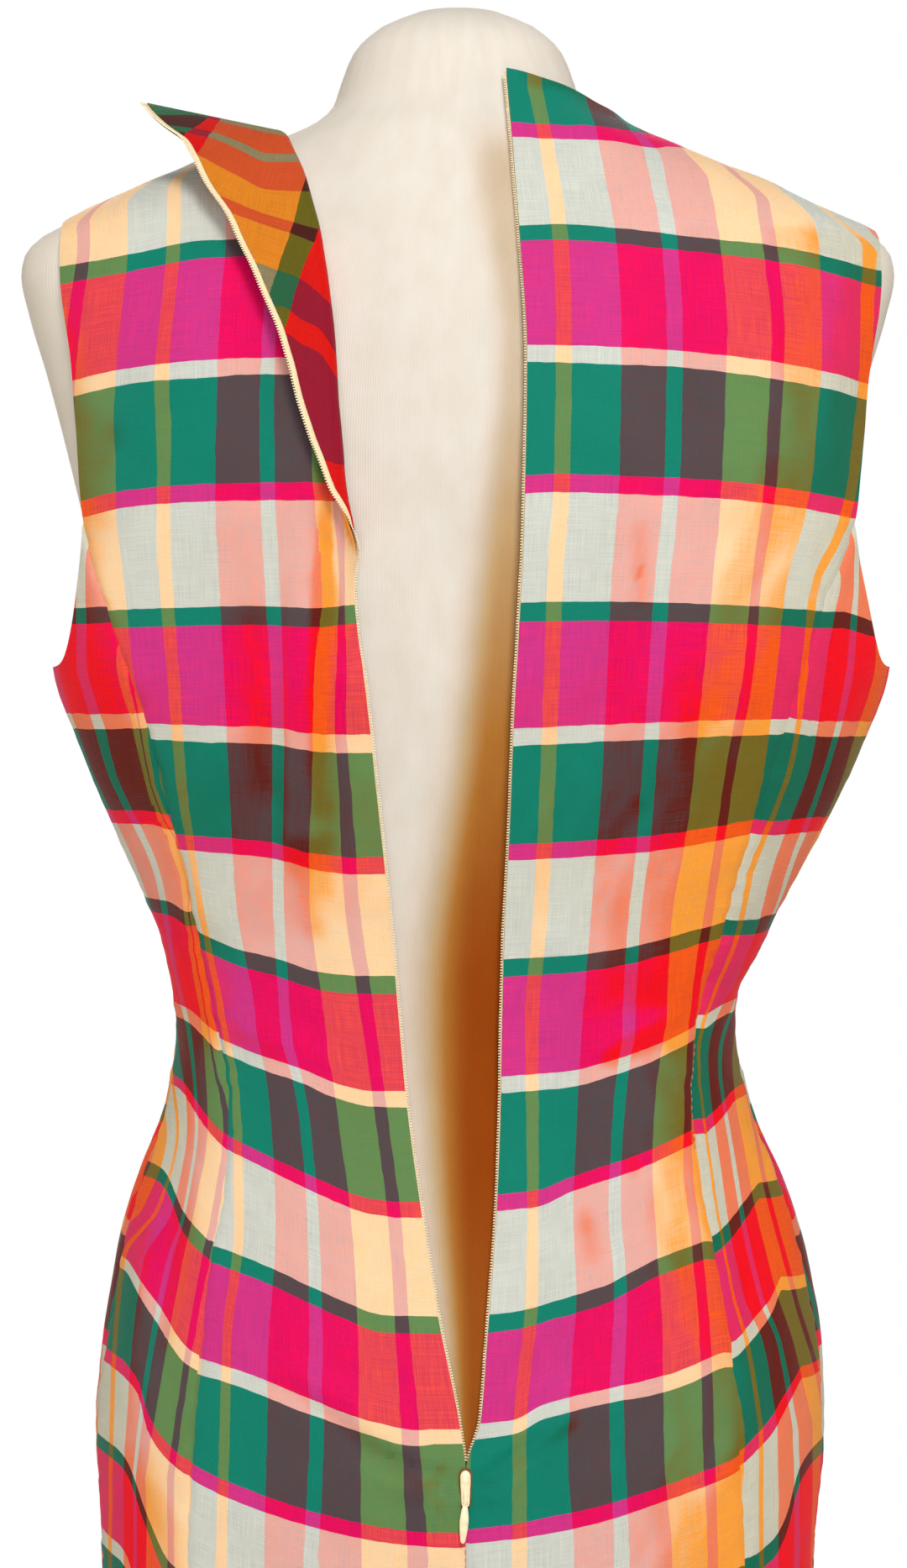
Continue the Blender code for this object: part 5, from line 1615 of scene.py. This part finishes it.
def build_form():
    """The jersey form, smooth and whole, with its UV map in the check's units."""
    heights = []
    for (low, *_), (high, *_) in zip(FORM_ROWS, FORM_ROWS[1:]):
        count = max(1, round((high - low) / FORM_LEVEL_STEP))
        heights += list(np.linspace(low, high, count + 1)[:-1])
    heights = np.array(heights + [FORM_ROWS[-1][0], FORM_TOP_Z - FORM_CAP_DROP])
    angles = 2 * np.pi * np.arange(FORM_SIDES) / FORM_SIDES
    radii = [r[:, None] for r in form_radii(heights)]
    rings = section_point(radii, heights[:, None], angles[None, :])
    rings[-1, :, :2] *= FORM_CAP_SHARE
    verts = np.concatenate((rings.reshape(-1, 3), [[0, 0, FORM_ROWS[0][0]], [0, 0, FORM_TOP_Z]]))
    count = len(heights)
    faces = ring_faces(count, FORM_SIDES)
    foot, top = count * FORM_SIDES, count * FORM_SIDES + 1
    for k in range(FORM_SIDES):
        n = (k + 1) % FORM_SIDES
        faces.append((foot, n, k))
        faces.append((top, (count - 1) * FORM_SIDES + k, (count - 1) * FORM_SIDES + n))
    turn = np.tile(angles, count)
    uv = np.stack((turn * FORM_UV_RADIUS / UNIT, verts[:-2, 2] / UNIT), axis=-1)
    uv = np.concatenate((uv, [[0, 0], [0, FORM_TOP_Z / UNIT]]))
    form = mesh_object("form_jersey", verts, faces, JERSEY, uv)
    store(form, "shade", shade_of(verts))
    seam_wrap(form)
    piece(form, "jersey", "dress_form")


def seam_wrap(form):
    """Keeps the UV map's last column of faces from running back over the whole map."""
    layer = form.data.uv_layers["ClothUV"].data
    round_trip = 2 * math.pi * FORM_UV_RADIUS / UNIT
    for face in form.data.polygons:
        places = [layer[i].uv for i in face.loop_indices]
        if max(p[0] for p in places) - min(p[0] for p in places) > 0.5 * round_trip:
            for p in places:
                if p[0] < 0.5 * round_trip:
                    p[0] += round_trip


# The slider's outline and the pull's, a row for each section: its distance below the
# top, half width and half thickness.
SLIDER_ROWS = (
    (0.0000, 0.00030, 0.00020),
    (0.0003, 0.00110, 0.00045),
    (0.0010, 0.00170, 0.00065),
    (0.0022, 0.00210, 0.00072),
    (0.0050, 0.00210, 0.00072),
    (0.0090, 0.00185, 0.00072),
    (0.0128, 0.00170, 0.00068),
    (0.0143, 0.00140, 0.00055),
    (0.0149, 0.00080, 0.00035),
    (0.0150, 0.00030, 0.00020),
)
PULL_ROWS = (
    (0.0030, 0.00040, 0.00030),
    (0.0033, 0.00090, 0.00042),
    (0.0045, 0.00125, 0.00050),
    (0.0070, 0.00165, 0.00055),
    (0.0095, 0.00185, 0.00058),
    (0.0125, 0.00165, 0.00056),
    (0.0155, 0.00130, 0.00052),
    (0.0175, 0.00100, 0.00045),
    (0.0183, 0.00060, 0.00032),
    (0.0185, 0.00020, 0.00015),
)
OVAL_SIDES = 20
OVAL_SQUARENESS = 0.7
SLIDER_HALF_THICK = 0.00072
PULL_LEAN = 0.0011
PULL_PIN_HALF = 0.0005
# A dark sheet of painted shade in the open seam round the slider.
GAP_MARGIN = 0.0006
GAP_LENGTHEN = 1.08
GAP_HALF_THICK = 0.0002
# The ring that the pull hangs on, and the slider's bridge over it, whose path is given
# as distances out from the slider's back and down from its top.
LOOP_HALF_WIDE = 0.00125
LOOP_HALF_LONG = 0.00175
LOOP_TUBE = 0.00042
LOOP_SIDES = 28
BRIDGE_HALF_WIDE = 0.00075
BRIDGE_HALF_THICK = 0.00032
BRIDGE_PATH = (
    (0.0012, 0.0074), (0.0019, 0.0078), (0.0028, 0.0088), (0.0030, 0.0100),
    (0.0030, 0.0125), (0.0028, 0.0136), (0.0019, 0.0144), (0.0012, 0.0147),
)


def lofted(name, rings, finish, closed=False):
    """Rings of points joined into one skin, its ends closed unless it runs round."""
    count, sides = rings.shape[:2]
    faces = ring_faces(count, sides, closed)
    if not closed:
        faces.append(tuple(range(sides))[::-1])
        faces.append(tuple(range((count - 1) * sides, count * sides)))
    return mesh_object(name, rings.reshape(-1, 3), faces, finish, None, LOFT_SHARP)


def oval_rings(rows, x, y, top_z, lean=0.0):
    """Flattened rings, round at the edge, one below the other."""
    turn = 2 * np.pi * np.arange(OVAL_SIDES) / OVAL_SIDES
    across = np.sign(np.cos(turn)) * np.abs(np.cos(turn)) ** OVAL_SQUARENESS
    out = np.sign(np.sin(turn)) * np.abs(np.sin(turn)) ** OVAL_SQUARENESS
    rings = []
    for down, half, thick in rows:
        shift = lean * down / rows[-1][0]
        level = np.full(OVAL_SIDES, top_z - down)
        rings.append(np.stack((x + shift + half * across, y + thick * out, level), axis=-1))
    return np.array(rings)


def tube_rings(path, side, half_side, half_out, closed=False):
    """Rings round a path that lies in the plane across a side direction."""
    if closed:
        along = unit(np.roll(path, -1, axis=0) - np.roll(path, 1, axis=0))
    else:
        along = unit(np.gradient(path, axis=0))
    out = np.cross(along, side)
    turn = (2 * np.pi * np.arange(OVAL_SIDES) / OVAL_SIDES)[None, :, None]
    return path[:, None] + side * half_side * np.cos(turn) + out[:, None] * half_out * np.sin(turn)


def hard_piece(name, rings, closed, body, *nodes):
    piece(lofted(name, rings, ENAMEL, closed), "enamelled_metal", *nodes, body=body)


def build_zip_head():
    """The slider with its bridge, a dark sheet of painted shade round it, and the pull that hangs
    from it.
    """
    low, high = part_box("zip_slider")
    x, back, top = 0.5 * (low[0] + high[0]), low[1], high[2]
    rings = oval_rings(SLIDER_ROWS, x, back + SLIDER_HALF_THICK, top)
    hard_piece("slider_body", rings, False, "dress", "zip_slider")
    # A dark sheet of painted shade in the open seam round the slider.
    rows = [(down * GAP_LENGTHEN, half + GAP_MARGIN, GAP_HALF_THICK) for down, half, _ in SLIDER_ROWS]
    piece(lofted("slider_gap_painted_shade", oval_rings(rows, x, back, top + GAP_MARGIN), GAP_SHADE_PAINT), "zip_tape")
    path = np.array([(x, back + out, top - down) for out, down in BRIDGE_PATH])
    side = np.array((1.0, 0.0, 0.0))
    rings = tube_rings(path, side, BRIDGE_HALF_WIDE, BRIDGE_HALF_THICK)
    hard_piece("slider_bridge", rings, False, "dress")
    low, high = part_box("zip_pull")
    x, y, top = 0.5 * (low[0] + high[0]), 0.5 * (low[1] + high[1]), high[2] - PULL_PIN_HALF
    turn = 2 * np.pi * np.arange(LOOP_SIDES) / LOOP_SIDES
    across, down = LOOP_HALF_WIDE * np.sin(turn), LOOP_HALF_LONG * (1.0 - np.cos(turn))
    path = np.stack((x + across, np.full(LOOP_SIDES, y), top - down), axis=-1)
    out = np.array((0.0, 1.0, 0.0))
    hard_piece("pull_loop", tube_rings(path, out, LOOP_TUBE, LOOP_TUBE, True), True, "pull_tab")
    rings = oval_rings(PULL_ROWS, x, y, top, PULL_LEAN)
    hard_piece("pull_leaf", rings, False, "pull_tab", "zip_pull")


def build_hard_parts():
    """The stand's own solids, in their paint."""
    for name in ("stand_pole", "stand_base"):
        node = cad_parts[name]
        node.data.materials.clear()
        node.data.materials.append(PAINT)


STITCH_LONG = 0.0021
STITCH_HALF = 0.00022
STITCH_GAP = 0.0012
STITCH_LIFT = 0.0002
# Where the strained seams show their thread: the column of the right back's grid, and
# the lowest and highest point.
STITCH_COLUMNS = ("column", "low", "high")
STITCH_ROWS = {
    "seam_stitches_centre": (0, HEM_Z + 0.002, ZIP_END_Z - 0.020),
    "seam_stitches_waist": (-1, 0.955, 1.000),
}


def build_stitches(right):
    """The thread that shows along the right back panel's strained seams."""
    normals = normals_of(right)
    for name, row in STITCH_ROWS.items():
        seam = dict(zip(STITCH_COLUMNS, row))
        up, path = normals[:, seam["column"]], right[:, seam["column"]]
        path = path + up * STITCH_LIFT
        shown = (path[:, 2] >= seam["low"]) & (path[:, 2] <= seam["high"])
        path, up = path[shown], up[shown]
        along = path_lengths(path)
        spots = np.arange(0.0, along[-1], STITCH_LONG + STITCH_GAP)
        centre, up = at_spots(spots, along, path), unit(at_spots(spots, along, up))
        step = unit(np.gradient(centre, axis=0))
        side = unit(np.cross(step, up))
        spindles(name, centre, step, side, up, STITCH_LONG, STITCH_HALF, THREAD, "plaid_cloth")


def camera():
    """The photo's camera, behind the dress at chest height and looking slightly down."""
    data = bpy.data.cameras.new("camera")
    data.sensor_width = SENSOR
    data.lens = SENSOR * FOCAL_PIXELS / PHOTO_HIGH
    data.clip_start = CLIP_START
    made = bpy.data.objects.new("camera", data)
    made.location = CAMERA_AT
    made.rotation_euler = (math.pi / 2 - PITCH, 0.0, math.pi)
    bpy.context.collection.objects.link(made)
    bpy.context.scene.camera = made


# Lights: place, what they aim at, size, power in watts and colour.
LIGHT_COLUMNS = ("place", "aim", "size", "power", "colour")
LIGHTS = {
    "key": ((-0.4, 2.3, 2.8), (0.0, 0.0, 1.1), 0.8, 58.0, (1.0, 0.99, 0.97)),
    "fill": ((-0.1, 3.2, 0.9), (0.0, 0.0, 1.0), 1.6, 36.0, (1.0, 0.99, 0.98)),
    "left": ((3.0, 0.6, 1.3), (0.0, 0.0, 1.0), 1.8, 40.0, (1.0, 0.92, 0.82)),
    "right": ((-3.0, 0.6, 1.3), (0.0, 0.0, 1.0), 1.8, 30.0, (1.0, 0.92, 0.82)),
    "top": ((0.0, 0.8, 3.6), (0.0, 0.0, 1.2), 1.8, 14.0, (1.0, 0.98, 0.95)),
    "front": ((0.3, -3.4, 2.0), (0.0, 0.0, 1.0), 2.4, 70.0, (1.0, 0.985, 0.96)),
}
WORLD_COLOUR = (1.0, 1.0, 1.0)
WORLD_STRENGTH = 1.0


def lights():
    """Soft area lights, and a world that shows as a white backdrop."""
    for name, row in LIGHTS.items():
        light = dict(zip(LIGHT_COLUMNS, row))
        data = bpy.data.lights.new(name, "AREA")
        data.shape = "DISK"
        data.size = light["size"]
        data.energy = light["power"]
        data.color = light["colour"]
        made = bpy.data.objects.new(name, data)
        made.location = light["place"]
        aim = np.array(light["aim"]) - np.array(light["place"])
        tilt = math.atan2(math.hypot(aim[0], aim[1]), -aim[2])
        made.rotation_euler = (tilt, 0.0, math.atan2(-aim[0], aim[1]))
        bpy.context.collection.objects.link(made)
    world = bpy.data.worlds.new("studio")
    world.use_nodes = True
    background = world.node_tree.nodes["Background"]
    background.inputs["Color"].default_value = (*WORLD_COLOUR, 1.0)
    background.inputs["Strength"].default_value = WORLD_STRENGTH
    bpy.context.scene.world = world
    world.cycles_visibility.diffuse = False
    bpy.context.scene.view_settings.view_transform = "Standard"


FLOOR_HALF = 2.4


def floor():
    corners = np.array([(x, y, 0.0) for x, y in ((-1, -1), (1, -1), (1, 1), (-1, 1))]) * FLOOR_HALF
    made = mesh_object("floor", corners, [(0, 1, 2, 3)], plain_material("pale_floor"))


camera()
floor()
build_form()
right_panel, strip_points, strip_normals = build_backs()
build_sides()
build_fronts()
build_facing(strip_points, strip_normals)
build_tapes(right_panel, strip_points, strip_normals)
build_stitches(right_panel)
build_zip_head()
build_hard_parts()
lights()
